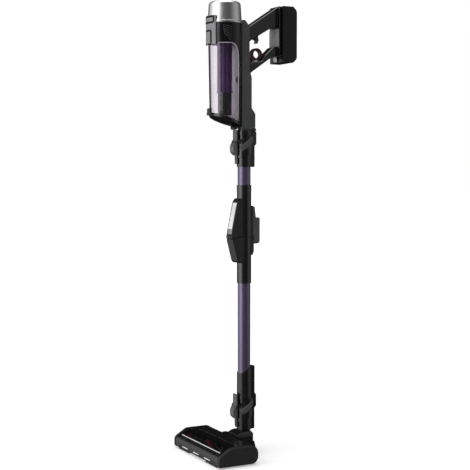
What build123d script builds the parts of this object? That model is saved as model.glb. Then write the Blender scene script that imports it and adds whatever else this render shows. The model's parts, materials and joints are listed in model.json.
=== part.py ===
from build123d import *
import math
import os

# Cordless stick vacuum, millimetres.
# +Z is up, -Y is the way the head travels, +X is the left side.
# The wand's axis stands at X = 0, Y = 0 and the floor is Z = 0.

# Clearances
BOND_GAP = 0.15      # round a sleeve that is glued or latched
RUN_GAP = 0.05       # round a pin that turns in its bore
MOVE_GAP = 0.5       # between pieces that move past each other
SEAM = 0.15          # joint line between two mouldings

# Floor head
HEAD_WIDTH = 250.0
HEAD_FRONT_Y = -132.2
HEAD_LENGTH = 104.0
HEAD_TOP_Z = 46.0
SOLE_Z = 4.0
SOLE_THICKNESS = 4.0
NOSE_Z = 27.0
SLOPE_LENGTH = 31.0
HEAD_WALL = 2.2
END_CAP_THICKNESS = 10.0
END_CAP_PROUD = 0.8
WINDOW_HALF_WIDTH = HEAD_WIDTH / 2 - 18.0
WINDOW_FRONT_Z = 31.0
WINDOW_DEPTH = 58.0
MOUTH_HALF_WIDTH = HEAD_WIDTH / 2 - 21.0
MOUTH_FRONT_LIP = 6.0
CHAMBER_DEPTH = 62.0
PORT_RADIUS = 12.0
PORT_Z = 24.5

# Brush roll and its drive
BRUSH_FROM_FRONT = 35.0
BRUSH_TIP_RADIUS = 18.5
BRUSH_FLOOR_GAP = 1.3
BRUSH_CORE_RADIUS = 11.0
BRUSH_SLEEVE = 1.2
BRUSH_SHAFT_RADIUS = 4.0
BRUSH_HALF_LENGTH = HEAD_WIDTH / 2 - 23.0
BRISTLE_ROWS = 6
BRISTLES_PER_ROW = 52
BRISTLE_WIDTH = 1.7
BRISTLE_SWEEP_DEG = 75.0
PULLEY_RADIUS = 9.0
PULLEY_WIDTH = 6.0
MOTOR_PULLEY_RADIUS = 5.0
BRUSH_MOTOR_RADIUS = 12.0
BRUSH_MOTOR_LENGTH = 52.0
BRUSH_MOTOR_FROM_BRUSH = 45.0
BELT_THICKNESS = 1.5

# Wheels and front glides
WHEEL_RADIUS = 10.5
WHEEL_WIDTH = 9.0
WHEEL_Y = 3.0
AXLE_RADIUS = 2.5
PAD_LENGTH = 60.0
PAD_WIDTH = 3.0

# Tilting neck
TILT_Y = -8.0
TILT_Z = 27.0
NECK_HALF_WIDTH = 28.0
NECK_FRONT_REACH = 24.5
NECK_REAR_REACH = 19.5
NECK_TOP_Z = 57.0
NECK_DOME = 15.0
NECK_PIN_RADIUS = 4.0
ARM_THICKNESS = 8.0
SWIVEL_RADIUS = 15.0
SWIVEL_WALL = 2.5
SWIVEL_DEPTH = 18.0

# Wand tubes and sleeves
TUBE_RADIUS = 15.8
TUBE_WALL = 1.4
SLEEVE_RADIUS = 17.8
LOWER_TUBE_LENGTH = 205.5
UPPER_TUBE_LENGTH = 44.0
TUBE_INSERT = 34.0
BOTTOM_SLEEVE_HEIGHT = 68.0
BOTTOM_SLEEVE_SLANT = 21.0

# Latching connectors, one at each end of the wand
CONNECTOR_HEIGHT = 88.5
BAND_RADIUS = 20.8
BAND_Z = 28.0
BAND_SLOPE = 0.34
BAND_TOP_Z = 70.0
BAND_TOP_SLOPE = 0.65
BAND_FRONT_Y = -19.5
RIB_DEPTH = 26.0
RIB_HALF_WIDTH = 7.5
LATCH_HALF_WIDTH = 10.0
LATCH_BACK_Y = -23.0
LATCH_TAB = 3.0
LATCH_BULGE = 8.5
LATCH_PIVOT_Z = 61.0
LATCH_PIN_RADIUS = 2.0
LATCH_EAR = 3.0

# Folding joint of the wand
FLEX_LOWER = 113.0
FLEX_UPPER = 126.5
FLEX_BODY_LOWER = 63.0
FLEX_BODY_UPPER = 89.0
FLEX_HALF_WIDTH = 16.0
FLEX_PIVOT_Y = -36.0
KNUCKLE_RADIUS = 6.0
KNUCKLE_HALF_WIDTH = 6.0
FLEX_PIN_RADIUS = 3.0
HOSE_RADIUS = 14.0
HOSE_WALL = 1.6
HOSE_RIBS = 14
HOSE_RIB_DEPTH = 1.8
HOSE_HALF_LENGTH = 58.0
FLEX_BUTTON_HALF_WIDTH = 9.5
FLEX_BUTTON_THICKNESS = 4.5
FLEX_BUTTON_TRAVEL = 2.5
REAR_COVER_DEPTH = 38.5
REAR_COVER_HALF_WIDTH = 13.0
REAR_COVER_WALL = 2.5

# Hand unit, heights above the top of the wand's upper connector
CUP_Y = -53.0
CUP_RADIUS = 39.5
CUP_DRAFT = 3.5
CUP_WALL = 2.2
CUP_TOP = 207.0
LID_FRONT = 41.5
LID_SLOPE = 0.35
LID_THICKNESS = 7.0
LID_RIM = 1.6
LID_PIN_Y = -28.0
LID_PIN_Z = 6.0
LID_PIN_RADIUS = 2.0
LID_KNUCKLE_RADIUS = 5.0
LID_REAR_Y = -31.0
LID_LATCH_HALF_WIDTH = 7.0
CYCLONE_RADIUS = 18.0
CYCLONE_RIBS = 24
CYCLONE_LENGTH = 118.0
CYCLONE_BORE = 12.0
SKIRT_RADIUS = 16.5
HOUSING_RADIUS = 42.0
HOUSING_HEIGHT = 46.5
HOUSING_WALL = 2.5
CAP_HEIGHT = 52.0
CAP_LIP = 5.0
CAP_WALL = 1.8
SPINE_FRONT_Y = -15.0
SPINE_REAR_Y = 12.0
SPINE_HALF_WIDTH = 17.0
SPINE_TOP = 264.0
SPINE_WALL = 2.2
CRADLE_WALL = 1.7
CRADLE_EDGE_Y = -32.0
CRADLE_SHOULDER_Y = -58.0
CRADLE_SHOULDER_DROP = 45.0
HOUSING_REAR_HALF_WIDTH = 19.0
GRIP_Y = 6.0
GRIP_HALF_WIDTH = 14.0
GRIP_CHAMFER = 2.0
DOCK_Y = 85.0
DOCK_THICKNESS = 5.0
DOCK_HALF_WIDTH = 24.0
HANDLE_TOP = 302.5
BATTERY_REAR_Y = 133.0
BATTERY_HALF_WIDTH = 32.0
BATTERY_BOTTOM = 166.5
BATTERY_WALL = 1.8
CELL_RADIUS = 9.1
CELL_LENGTH = 65.0
BATTERY_BUTTON_RADIUS = 7.0
TRIGGER_Y = 32.0
TRIGGER_Z = 185.0
TRIGGER_RADIUS = 15.0
TRIGGER_HOLE = 9.5
TRIGGER_HALF_WIDTH = 6.0
TRIGGER_PIN_RADIUS = 2.0

# Heights of the stack, from the floor up
HEAD_REAR_Y = HEAD_FRONT_Y + HEAD_LENGTH
BASE_TOP_Z = SOLE_Z + SOLE_THICKNESS
CONNECTOR_Z = NECK_TOP_Z + MOVE_GAP
BOTTOM_SLEEVE_Z = CONNECTOR_Z + CONNECTOR_HEIGHT
FLEX_BOTTOM_Z = BOTTOM_SLEEVE_Z + BOTTOM_SLEEVE_HEIGHT + LOWER_TUBE_LENGTH
FLEX_Z = FLEX_BOTTOM_Z + FLEX_LOWER
FLEX_TOP_Z = FLEX_Z + FLEX_UPPER
WAND_CONNECTOR_Z = FLEX_TOP_Z + UPPER_TUBE_LENGTH
HAND_Z = WAND_CONNECTOR_Z + CONNECTOR_HEIGHT

parts = {}


def box(x0, x1, y0, y1, z0, z1):
    """A block between two corners."""
    block = Box(x1 - x0, y1 - y0, z1 - z0)
    return Pos((x0 + x1) / 2, (y0 + y1) / 2, (z0 + z1) / 2) * block


def cyl_z(radius, z0, z1, y=0.0):
    """An upright cylinder on the plane X = 0."""
    return Pos(0, y, (z0 + z1) / 2) * Cylinder(radius, z1 - z0)


def cyl_x(radius, x0, x1, y, z):
    """A cylinder across the object."""
    return Pos((x0 + x1) / 2, y, z) * Rot(0, 90, 0) * Cylinder(radius, x1 - x0)


def cyl_y(radius, y0, y1, z, x=0.0):
    """A cylinder along the travel direction."""
    return Pos(x, (y0 + y1) / 2, z) * Rot(90, 0, 0) * Cylinder(radius, y1 - y0)


def tube_z(outer, inner, z0, z1, y=0.0):
    """An upright tube."""
    return cyl_z(outer, z0, z1, y) - cyl_z(inner, z0, z1, y)


def side_face(points, radii=None):
    """A face in the YZ plane from its corners, each with its own rounding."""
    if radii is None:
        return Plane.YZ * make_face(Polyline(*points, close=True))
    return Plane.YZ * make_face(FilletPolyline(*points, radius=radii, close=True))


def side_prism(points, half_width, radii=None):
    """A side outline extruded equally to the left and right."""
    return extrude(side_face(points, radii), amount=half_width, both=True)


def side_slab(points, x0, x1, radii=None):
    """A side outline extruded between two widths."""
    return Pos(x0, 0, 0) * extrude(side_face(points, radii), amount=x1 - x0)


def mirrored(solid):
    """A piece and its mirror image on the other side."""
    return solid + mirror(solid, about=Plane.YZ)


# Floor head
HEAD_INNER_X = HEAD_WIDTH / 2 - END_CAP_THICKNESS
BRUSH_Y = HEAD_FRONT_Y + BRUSH_FROM_FRONT
BRUSH_Z = BRUSH_TIP_RADIUS + BRUSH_FLOOR_GAP
CHAMBER_WALL_Y = HEAD_FRONT_Y + CHAMBER_DEPTH
NOTCH_Y = TILT_Y - NECK_FRONT_REACH - 2 * MOVE_GAP
ARM_X = NECK_HALF_WIDTH + MOVE_GAP
ARM_OUTER_X = ARM_X + ARM_THICKNESS


def head_profile(grow):
    """Side outline of the head, grown outwards by the given amount."""
    front = HEAD_FRONT_Y - grow
    rear = HEAD_REAR_Y + grow
    top = HEAD_TOP_Z + grow
    bottom = SOLE_Z - grow
    slope_y = HEAD_FRONT_Y + SLOPE_LENGTH - grow * 0.4
    nose = NOSE_Z + grow * 0.4
    corners = [(front, bottom), (front, nose), (slope_y, top), (rear, top), (rear, bottom)]
    return corners, [4 + grow, 12 + grow, 18 + grow, 18 + grow, 16 + grow]


def make_head_shells():
    """Base, cover and window, cut from one moulded outline."""
    corners, radii = head_profile(0)
    outer = side_prism(corners, HEAD_INNER_X, radii)
    corners, radii = head_profile(-HEAD_WALL)
    inner = side_prism(corners, HEAD_INNER_X, radii)
    far = HEAD_WIDTH
    below = box(-far, far, HEAD_FRONT_Y - far, far, -far, BASE_TOP_Z)
    shell = (outer - inner) - below
    window_rear = HEAD_FRONT_Y + WINDOW_DEPTH
    half = WINDOW_HALF_WIDTH
    opening = box(-half, half, HEAD_FRONT_Y - 1, window_rear, WINDOW_FRONT_Z, far)
    recess = box(-half - SEAM, half + SEAM, HEAD_FRONT_Y - 1, window_rear + SEAM,
                 WINDOW_FRONT_Z - SEAM, far)
    parts["head_window"] = shell & opening
    notch_x = ARM_OUTER_X + SEAM
    neck_notch = box(-notch_x, notch_x, NOTCH_Y - SEAM, 0, BASE_TOP_Z, far)
    hood_top = HEAD_TOP_Z + 3
    hood_corners = [(NOTCH_Y - 30, HEAD_TOP_Z - 1.5), (NOTCH_Y - 8, hood_top), (NOTCH_Y - SEAM, hood_top),
                    (NOTCH_Y - SEAM, HEAD_TOP_Z - HEAD_WALL - 1), (NOTCH_Y - 30, HEAD_TOP_Z - HEAD_WALL)]
    hood = side_prism(hood_corners, NECK_HALF_WIDTH + 2, [0, 12, 0, 0, 0])
    parts["head_cover"] = shell - recess - neck_notch + hood

    plate = outer & below
    mouth_front = HEAD_FRONT_Y + MOUTH_FRONT_LIP
    mouth = box(-MOUTH_HALF_WIDTH, MOUTH_HALF_WIDTH, mouth_front, CHAMBER_WALL_Y,
                -far, far)
    wall_top = HEAD_TOP_Z - HEAD_WALL - MOVE_GAP
    wall_x = HEAD_INNER_X - 2 * MOVE_GAP
    wall = box(-wall_x, wall_x, CHAMBER_WALL_Y, CHAMBER_WALL_Y + HEAD_WALL, BASE_TOP_Z, wall_top)
    port = cyl_y(PORT_RADIUS, CHAMBER_WALL_Y - 1, CHAMBER_WALL_Y + HEAD_WALL + 1, PORT_Z)
    belt_slot = box(-HEAD_INNER_X, -BRUSH_HALF_LENGTH, CHAMBER_WALL_Y - 1,
                    CHAMBER_WALL_Y + HEAD_WALL + 1, BASE_TOP_Z, wall_top)
    base = plate - mouth + (wall - port - belt_slot)
    base -= box(-ARM_X, ARM_X, NOTCH_Y, 0, -far, far)
    root_y = NOTCH_Y - 12
    arm_corners = [
        (root_y, SOLE_Z), (WHEEL_Y + 9, SOLE_Z), (WHEEL_Y + 12, WHEEL_RADIUS),
        (TILT_Y + NECK_REAR_REACH - 2, TILT_Z + 6), (TILT_Y + 6, TILT_Z + 12),
        (TILT_Y - 14, TILT_Z + 12), (NOTCH_Y, TILT_Z + 4), (NOTCH_Y, BASE_TOP_Z), (root_y, BASE_TOP_Z),
    ]
    arm = side_slab(arm_corners, ARM_X, ARM_OUTER_X, [0, 3, 5, 6, 6, 6, 2, 0, 0])
    arm -= cyl_x(NECK_PIN_RADIUS, ARM_X - 1, ARM_OUTER_X + 1, TILT_Y, TILT_Z)
    arm -= cyl_x(AXLE_RADIUS, ARM_X - 1, ARM_OUTER_X + 1, WHEEL_Y, WHEEL_RADIUS)
    motor_x = BRUSH_HALF_LENGTH
    saddle = box(-motor_x + 10, -motor_x + 16, MOTOR_Y - 8, MOTOR_Y + 8,
                 BASE_TOP_Z - 1, BRUSH_Z)
    saddle += box(-motor_x + 38, -motor_x + 44, MOTOR_Y - 8, MOTOR_Y + 8,
                  BASE_TOP_Z - 1, BRUSH_Z)
    saddle -= cyl_x(BRUSH_MOTOR_RADIUS, -far, 0, MOTOR_Y, MOTOR_Z)
    parts["head_base"] = base + mirrored(arm) + saddle


def make_end_caps():
    """Oval caps that close both ends and carry the brush."""
    corners, radii = head_profile(END_CAP_PROUD)
    cap = side_slab(corners, HEAD_INNER_X, HEAD_WIDTH / 2, radii)
    rim = cap.edges().filter_by_position(Axis.X, HEAD_WIDTH / 2 - 0.1, HEAD_WIDTH / 2 + 0.1)
    cap = fillet(rim, END_CAP_THICKNESS * 0.4)
    cap -= cyl_x(BRUSH_SHAFT_RADIUS + RUN_GAP, HEAD_INNER_X - 1, HEAD_WIDTH / 2 - 4,
                 BRUSH_Y, BRUSH_Z)
    parts["end_cap_left"] = cap
    parts["end_cap_right"] = mirror(cap, about=Plane.YZ)


MOTOR_Y = BRUSH_Y + BRUSH_MOTOR_FROM_BRUSH
MOTOR_Z = BRUSH_Z + 4.0
PULLEY_X = -BRUSH_HALF_LENGTH - 2 * MOVE_GAP


def make_brush():
    """Brush roll with its shaft, its bristles in a V, and the driven pulley."""
    half = BRUSH_HALF_LENGTH
    sleeve_radius = BRUSH_CORE_RADIUS + BRUSH_SLEEVE
    shaft_end = HEAD_WIDTH / 2 - 5
    core = cyl_x(BRUSH_CORE_RADIUS, -half, half, BRUSH_Y, BRUSH_Z)
    parts["brush_core"] = core + cyl_x(BRUSH_SHAFT_RADIUS, -shaft_end, shaft_end, BRUSH_Y, BRUSH_Z)
    sleeve = cyl_x(sleeve_radius, -half + 2, half - 2, BRUSH_Y, BRUSH_Z)
    sleeve -= cyl_x(BRUSH_CORE_RADIUS, -half, half, BRUSH_Y, BRUSH_Z)
    root = BRUSH_CORE_RADIUS + BRUSH_SLEEVE / 2
    strand = extrude(Rectangle(BRISTLE_WIDTH, BRISTLE_WIDTH), BRUSH_TIP_RADIUS - root, taper=2)
    strand = Pos(0, 0, root) * strand
    pitch = 2 * (half - 6) / (BRISTLES_PER_ROW - 1)
    strands = []
    for row in range(BRISTLE_ROWS):
        for column in range(BRISTLES_PER_ROW):
            x = -half + 6 + column * pitch
            sweep_angle = BRISTLE_SWEEP_DEG * abs(x) / half
            angle = row * 360 / BRISTLE_ROWS + sweep_angle
            strands.append(Pos(x, BRUSH_Y, BRUSH_Z) * Rot(angle, 0, 0) * strand)
    parts["brush_bristles"] = sleeve + strands
    parts["brush_pulley"] = make_pulley(PULLEY_RADIUS, BRUSH_SHAFT_RADIUS, BRUSH_Y, BRUSH_Z)


def make_pulley(radius, bore, y, z):
    """A flanged belt pulley on a shaft across the head."""
    flange = 0.9
    low = PULLEY_X - PULLEY_WIDTH
    rim = cyl_x(radius, low, PULLEY_X, y, z)
    lip = cyl_x(radius + BELT_THICKNESS, low, low + flange, y, z)
    lip += cyl_x(radius + BELT_THICKNESS, PULLEY_X - flange, PULLEY_X, y, z)
    return rim + lip - cyl_x(bore, low - 1, PULLEY_X + 1, y, z)


def belt_loop(grow):
    """Filled outline of the belt round both pulleys, grown by an amount."""
    flange = 0.9 + MOVE_GAP
    low = PULLEY_X - PULLEY_WIDTH + flange
    high = PULLEY_X - flange
    big = PULLEY_RADIUS + grow
    small = MOTOR_PULLEY_RADIUS + grow
    span = math.hypot(MOTOR_Y - BRUSH_Y, MOTOR_Z - BRUSH_Z)
    lean = math.degrees(math.atan2(MOTOR_Z - BRUSH_Z, MOTOR_Y - BRUSH_Y))
    wrap = math.degrees(math.acos((big - small) / span))
    corners = []
    for centre, radius, side in (((BRUSH_Y, BRUSH_Z), big, 1), ((MOTOR_Y, MOTOR_Z), small, 1),
                                 ((MOTOR_Y, MOTOR_Z), small, -1), ((BRUSH_Y, BRUSH_Z), big, -1)):
        angle = math.radians(lean + side * wrap)
        corners.append((centre[0] + radius * math.cos(angle), centre[1] + radius * math.sin(angle)))
    loop = side_slab(corners, low, high)
    loop += cyl_x(big, low, high, BRUSH_Y, BRUSH_Z)
    return loop + cyl_x(small, low, high, MOTOR_Y, MOTOR_Z)


def make_brush_drive():
    """Motor, its pulley and the belt to the brush."""
    gap = 0.3
    parts["drive_belt"] = belt_loop(gap + BELT_THICKNESS) - belt_loop(gap)
    right = -BRUSH_HALF_LENGTH + MOVE_GAP + BRUSH_MOTOR_LENGTH
    left = -BRUSH_HALF_LENGTH + MOVE_GAP
    shaft = 2.0
    motor = cyl_x(BRUSH_MOTOR_RADIUS, left, right, MOTOR_Y, MOTOR_Z)
    motor = chamfer(motor.edges().filter_by(GeomType.CIRCLE), 1.0)
    parts["brush_motor"] = motor - cyl_x(shaft + RUN_GAP, left - 1, left + 12, MOTOR_Y, MOTOR_Z)
    pulley = make_pulley(MOTOR_PULLEY_RADIUS, shaft, MOTOR_Y, MOTOR_Z)
    stub = cyl_x(shaft, PULLEY_X - PULLEY_WIDTH, left + 11, MOTOR_Y, MOTOR_Z)
    parts["motor_pulley"] = pulley + stub


def make_head_trim():
    """Light bar, glides, wheels, pins, duct and screws of the head."""
    bar_half = HEAD_INNER_X - 12
    lens = box(-bar_half, bar_half, HEAD_FRONT_Y - 0.6, HEAD_FRONT_Y + 1.2, BASE_TOP_Z + 1,
               BASE_TOP_Z + 6)
    parts["light_bar"] = lens
    parts["head_cover"] -= box(-bar_half - SEAM, bar_half + SEAM, HEAD_FRONT_Y - 1,
                               HEAD_FRONT_Y + 1.2, BASE_TOP_Z + 1 - SEAM, BASE_TOP_Z + 6 + SEAM)
    pad_y = HEAD_FRONT_Y + MOUTH_FRONT_LIP - PAD_WIDTH / 2
    pad = Pos(HEAD_INNER_X - 10 - PAD_LENGTH / 2, pad_y, SOLE_Z / 2) * Box(PAD_LENGTH, PAD_WIDTH, SOLE_Z)
    parts["glide_pads"] = mirrored(pad)

    wheel_x = ARM_OUTER_X + MOVE_GAP
    wheel = cyl_x(WHEEL_RADIUS, wheel_x, wheel_x + WHEEL_WIDTH, WHEEL_Y, WHEEL_RADIUS)
    wheel = chamfer(wheel.edges().filter_by(GeomType.CIRCLE), 1.2)
    wheel -= cyl_x(AXLE_RADIUS + RUN_GAP, wheel_x - 1, wheel_x + WHEEL_WIDTH + 1, WHEEL_Y,
                   WHEEL_RADIUS)
    parts["wheel_left"] = wheel
    parts["wheel_right"] = mirror(wheel, about=Plane.YZ)
    head_x = wheel_x + WHEEL_WIDTH + MOVE_GAP
    axle = cyl_x(AXLE_RADIUS, ARM_X, head_x, WHEEL_Y, WHEEL_RADIUS)
    axle += cyl_x(AXLE_RADIUS * 1.7, head_x, head_x + 1.5, WHEEL_Y, WHEEL_RADIUS)

    pin_depth = 5.0
    pin = cyl_x(NECK_PIN_RADIUS, NECK_HALF_WIDTH - pin_depth, ARM_OUTER_X, TILT_Y, TILT_Z)
    parts["head_pins"] = mirrored(axle) + mirrored(pin)
    duct_end = NOTCH_Y - MOVE_GAP
    duct = cyl_y(PORT_RADIUS + HEAD_WALL, CHAMBER_WALL_Y + HEAD_WALL, duct_end, PORT_Z)
    parts["inlet_duct"] = duct - cyl_y(PORT_RADIUS, CHAMBER_WALL_Y, duct_end + 1, PORT_Z)

    screw_radius = 3.2
    screws = []
    for x in (-HEAD_INNER_X + 9, -HEAD_WIDTH / 4, HEAD_WIDTH / 4, HEAD_INNER_X - 9):
        place = Pos(x, HEAD_REAR_Y - 14, SOLE_Z)
        hole = place * Cylinder(screw_radius, 2 * 1.5)
        parts["head_base"] -= hole
        screws.append(place * Pos(0, 0, 0.75) * Cylinder(screw_radius, 1.5))
    parts["head_screws"] = Compound(children=screws)


make_head_shells()
make_end_caps()
make_brush()
make_brush_drive()
make_head_trim()


# Neck and wand
def make_neck():
    """Tilting neck: a domed block between the arms with the swivel's socket."""
    front = TILT_Y - NECK_FRONT_REACH
    rear = TILT_Y + NECK_REAR_REACH
    corners = [
        (front, TILT_Z - 4), (front, TILT_Z + 20), (TILT_Y - 10, NECK_TOP_Z),
        (rear - 3.5, NECK_TOP_Z), (rear, NECK_TOP_Z - 7), (rear, TILT_Z - 13),
        (TILT_Y + 12, TILT_Z - 20), (TILT_Y - 12, TILT_Z - 20),
    ]
    block = side_prism(corners, NECK_HALF_WIDTH, [5, 9, 9, 3, 3, 5, 6, 8])
    sides = block.faces().filter_by(Axis.X).edges()
    block = fillet(sides, 2.4)
    half = NECK_HALF_WIDTH
    arch = FilletPolyline((-half, 0), (half, 0), (half, NECK_TOP_Z), (-half, NECK_TOP_Z),
                          radius=[0, 0, NECK_DOME, NECK_DOME], close=True)
    block &= extrude(Plane.XZ * make_face(arch), amount=HEAD_LENGTH, both=True)
    socket = SWIVEL_RADIUS + MOVE_GAP
    floor_z = NECK_TOP_Z - SWIVEL_DEPTH - 2 * MOVE_GAP
    block -= cyl_z(socket, floor_z, NECK_TOP_Z + 1)
    bore = PORT_RADIUS - 1
    block -= cyl_y(bore, front - 1, 0, PORT_Z)
    block -= cyl_z(bore, TILT_Z, floor_z + 1)
    for side in (1, -1):
        depth = NECK_HALF_WIDTH - 5 - MOVE_GAP
        block -= Pos(side * (depth + NECK_HALF_WIDTH) / 2, TILT_Y, TILT_Z) * Rot(0, 90, 0) * Cylinder(
            NECK_PIN_RADIUS + RUN_GAP, NECK_HALF_WIDTH - depth)
    parts["neck_barrel"] = block


def make_connector():
    """Latching connector, its foot at Z = 0: sleeve, diagonal collar, rear rib and ears."""
    bore = TUBE_RADIUS + BOND_GAP
    body = cyl_z(SLEEVE_RADIUS, 0, CONNECTOR_HEIGHT)
    body += cyl_z(SLEEVE_RADIUS + 1.6, CONNECTOR_HEIGHT - 12, CONNECTOR_HEIGHT - 4)
    reach = BAND_RADIUS + 4
    front = BAND_FRONT_Y
    band_corners = [
        (front, BAND_Z + front * BAND_SLOPE), (reach, BAND_Z + reach * BAND_SLOPE),
        (reach, BAND_TOP_Z + reach * BAND_TOP_SLOPE), (front, BAND_TOP_Z + front * BAND_TOP_SLOPE),
    ]
    body += side_prism(band_corners, reach) & cyl_z(BAND_RADIUS, 0, CONNECTOR_HEIGHT - SEAM)
    bulge = RIB_DEPTH + 5
    rib_top = CONNECTOR_HEIGHT - SEAM
    rib_corners = [
        (0, 0), (RIB_DEPTH - 1.5, 0), (RIB_DEPTH, 3), (RIB_DEPTH, 52), (bulge, 57), (bulge, 83),
        (RIB_DEPTH + 1, rib_top), (0, rib_top),
    ]
    rib = side_prism(rib_corners, RIB_HALF_WIDTH)
    rib = fillet(rib.edges().filter_by(Axis.Z), 1.8)
    body += rib
    ear_x = LATCH_HALF_WIDTH + MOVE_GAP
    pin_y = LATCH_BACK_Y - LATCH_TAB / 2
    ear_corners = [
        (0, LATCH_PIVOT_Z - 8), (pin_y, LATCH_PIVOT_Z - 4.5), (pin_y - 3.5, LATCH_PIVOT_Z),
        (pin_y, LATCH_PIVOT_Z + 4.5), (0, LATCH_PIVOT_Z + 8),
    ]
    ear = side_slab(ear_corners, ear_x, ear_x + LATCH_EAR, [0, 2, 2, 2, 0])
    body += mirrored(ear)
    body -= cyl_z(bore, -1, CONNECTOR_HEIGHT + reach)
    return body - cyl_x(LATCH_PIN_RADIUS, -reach, reach, pin_y, LATCH_PIVOT_Z)


def make_latch():
    """Rocker latch in front of a connector: flat tab, thumb button and spring tail."""
    back = LATCH_BACK_Y
    front = back - LATCH_TAB
    bulge = front - LATCH_BULGE
    corners = [
        (back, CONNECTOR_HEIGHT + 1), (front, CONNECTOR_HEIGHT + 1), (front, LATCH_PIVOT_Z + 2),
        (bulge + 3, LATCH_PIVOT_Z - 4), (bulge, LATCH_PIVOT_Z - 12), (bulge + 1, LATCH_PIVOT_Z - 26),
        (front, LATCH_PIVOT_Z - 33), (back, LATCH_PIVOT_Z - 33),
    ]
    rocker = side_prism(corners, LATCH_HALF_WIDTH, [1.2, 1.2, 2, 3, 4, 4, 2, 1])
    rocker = fillet(rocker.faces().filter_by(Axis.X).edges(), 0.9)
    tail_corners = [
        (back, LATCH_PIVOT_Z - 30), (back + 0.6, LATCH_PIVOT_Z - 34), (back + 1.2, LATCH_PIVOT_Z - 54),
        (back, LATCH_PIVOT_Z - 54), (back - 1.2, LATCH_PIVOT_Z - 30),
    ]
    rocker += side_prism(tail_corners, LATCH_HALF_WIDTH / 2)
    pin_y = back - LATCH_TAB / 2
    return rocker - cyl_x(LATCH_PIN_RADIUS + RUN_GAP, -HEAD_WIDTH, HEAD_WIDTH, pin_y, LATCH_PIVOT_Z)


def make_latch_pin():
    """Pin through a latch and its two ears."""
    reach = LATCH_HALF_WIDTH + MOVE_GAP + LATCH_EAR
    return cyl_x(LATCH_PIN_RADIUS, -reach, reach, LATCH_BACK_Y - LATCH_TAB / 2, LATCH_PIVOT_Z)


def make_connectors():
    """The head's swivelling connector and the hand unit's connector."""
    lower = Pos(0, 0, CONNECTOR_Z)
    upper = Pos(0, 0, WAND_CONNECTOR_Z)
    swivel_bore = SWIVEL_RADIUS - SWIVEL_WALL
    floor = cyl_z(SLEEVE_RADIUS, 0, 8)
    floor += cyl_z(SWIVEL_RADIUS, -SWIVEL_DEPTH - MOVE_GAP, 1)
    floor -= cyl_z(swivel_bore, -SWIVEL_DEPTH - 2, 9)
    parts["neck_connector"] = lower * (make_connector() + floor)
    parts["head_latch"] = lower * make_latch()
    parts["head_latch_pin"] = lower * make_latch_pin()
    parts["wand_connector"] = upper * make_connector()
    parts["wand_latch"] = upper * make_latch()
    parts["wand_latch_pin"] = upper * make_latch_pin()


def make_tubes():
    """Bottom sleeve and the two metal tubes of the wand."""
    z0 = BOTTOM_SLEEVE_Z
    z1 = z0 + BOTTOM_SLEEVE_HEIGHT
    sleeve = cyl_z(SLEEVE_RADIUS, z0, z1)
    sleeve += box(-RIB_HALF_WIDTH, RIB_HALF_WIDTH, 0, RIB_DEPTH, z0 + SEAM, z1)
    far = HEAD_WIDTH
    slant_corners = [
        (-SLEEVE_RADIUS - 4, z1 - BOTTOM_SLEEVE_SLANT), (SLEEVE_RADIUS / 2, z1 - 2), (RIB_DEPTH + 1, z1),
        (RIB_DEPTH + 1, z1 + far), (-SLEEVE_RADIUS - 4, z1 + far),
    ]
    sleeve -= side_prism(slant_corners, far)
    spigot = cyl_z(TUBE_RADIUS, z0 - TUBE_INSERT, z0 + 1)
    sleeve += spigot
    sleeve -= cyl_z(TUBE_RADIUS - TUBE_WALL, z0 - far, z1 + far)
    sleeve -= cyl_z(TUBE_RADIUS + BOND_GAP, z0 + 6, z1 + far)
    parts["wand_bottom_sleeve"] = sleeve
    lower_top = FLEX_Z - FLEX_BODY_LOWER
    parts["lower_tube"] = tube_z(TUBE_RADIUS, TUBE_RADIUS - TUBE_WALL, z0 + 6, lower_top)
    upper_bottom = FLEX_Z + FLEX_BODY_LOWER
    upper_top = WAND_CONNECTOR_Z + TUBE_INSERT
    parts["upper_tube"] = tube_z(TUBE_RADIUS, TUBE_RADIUS - TUBE_WALL, upper_bottom, upper_top)


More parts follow.
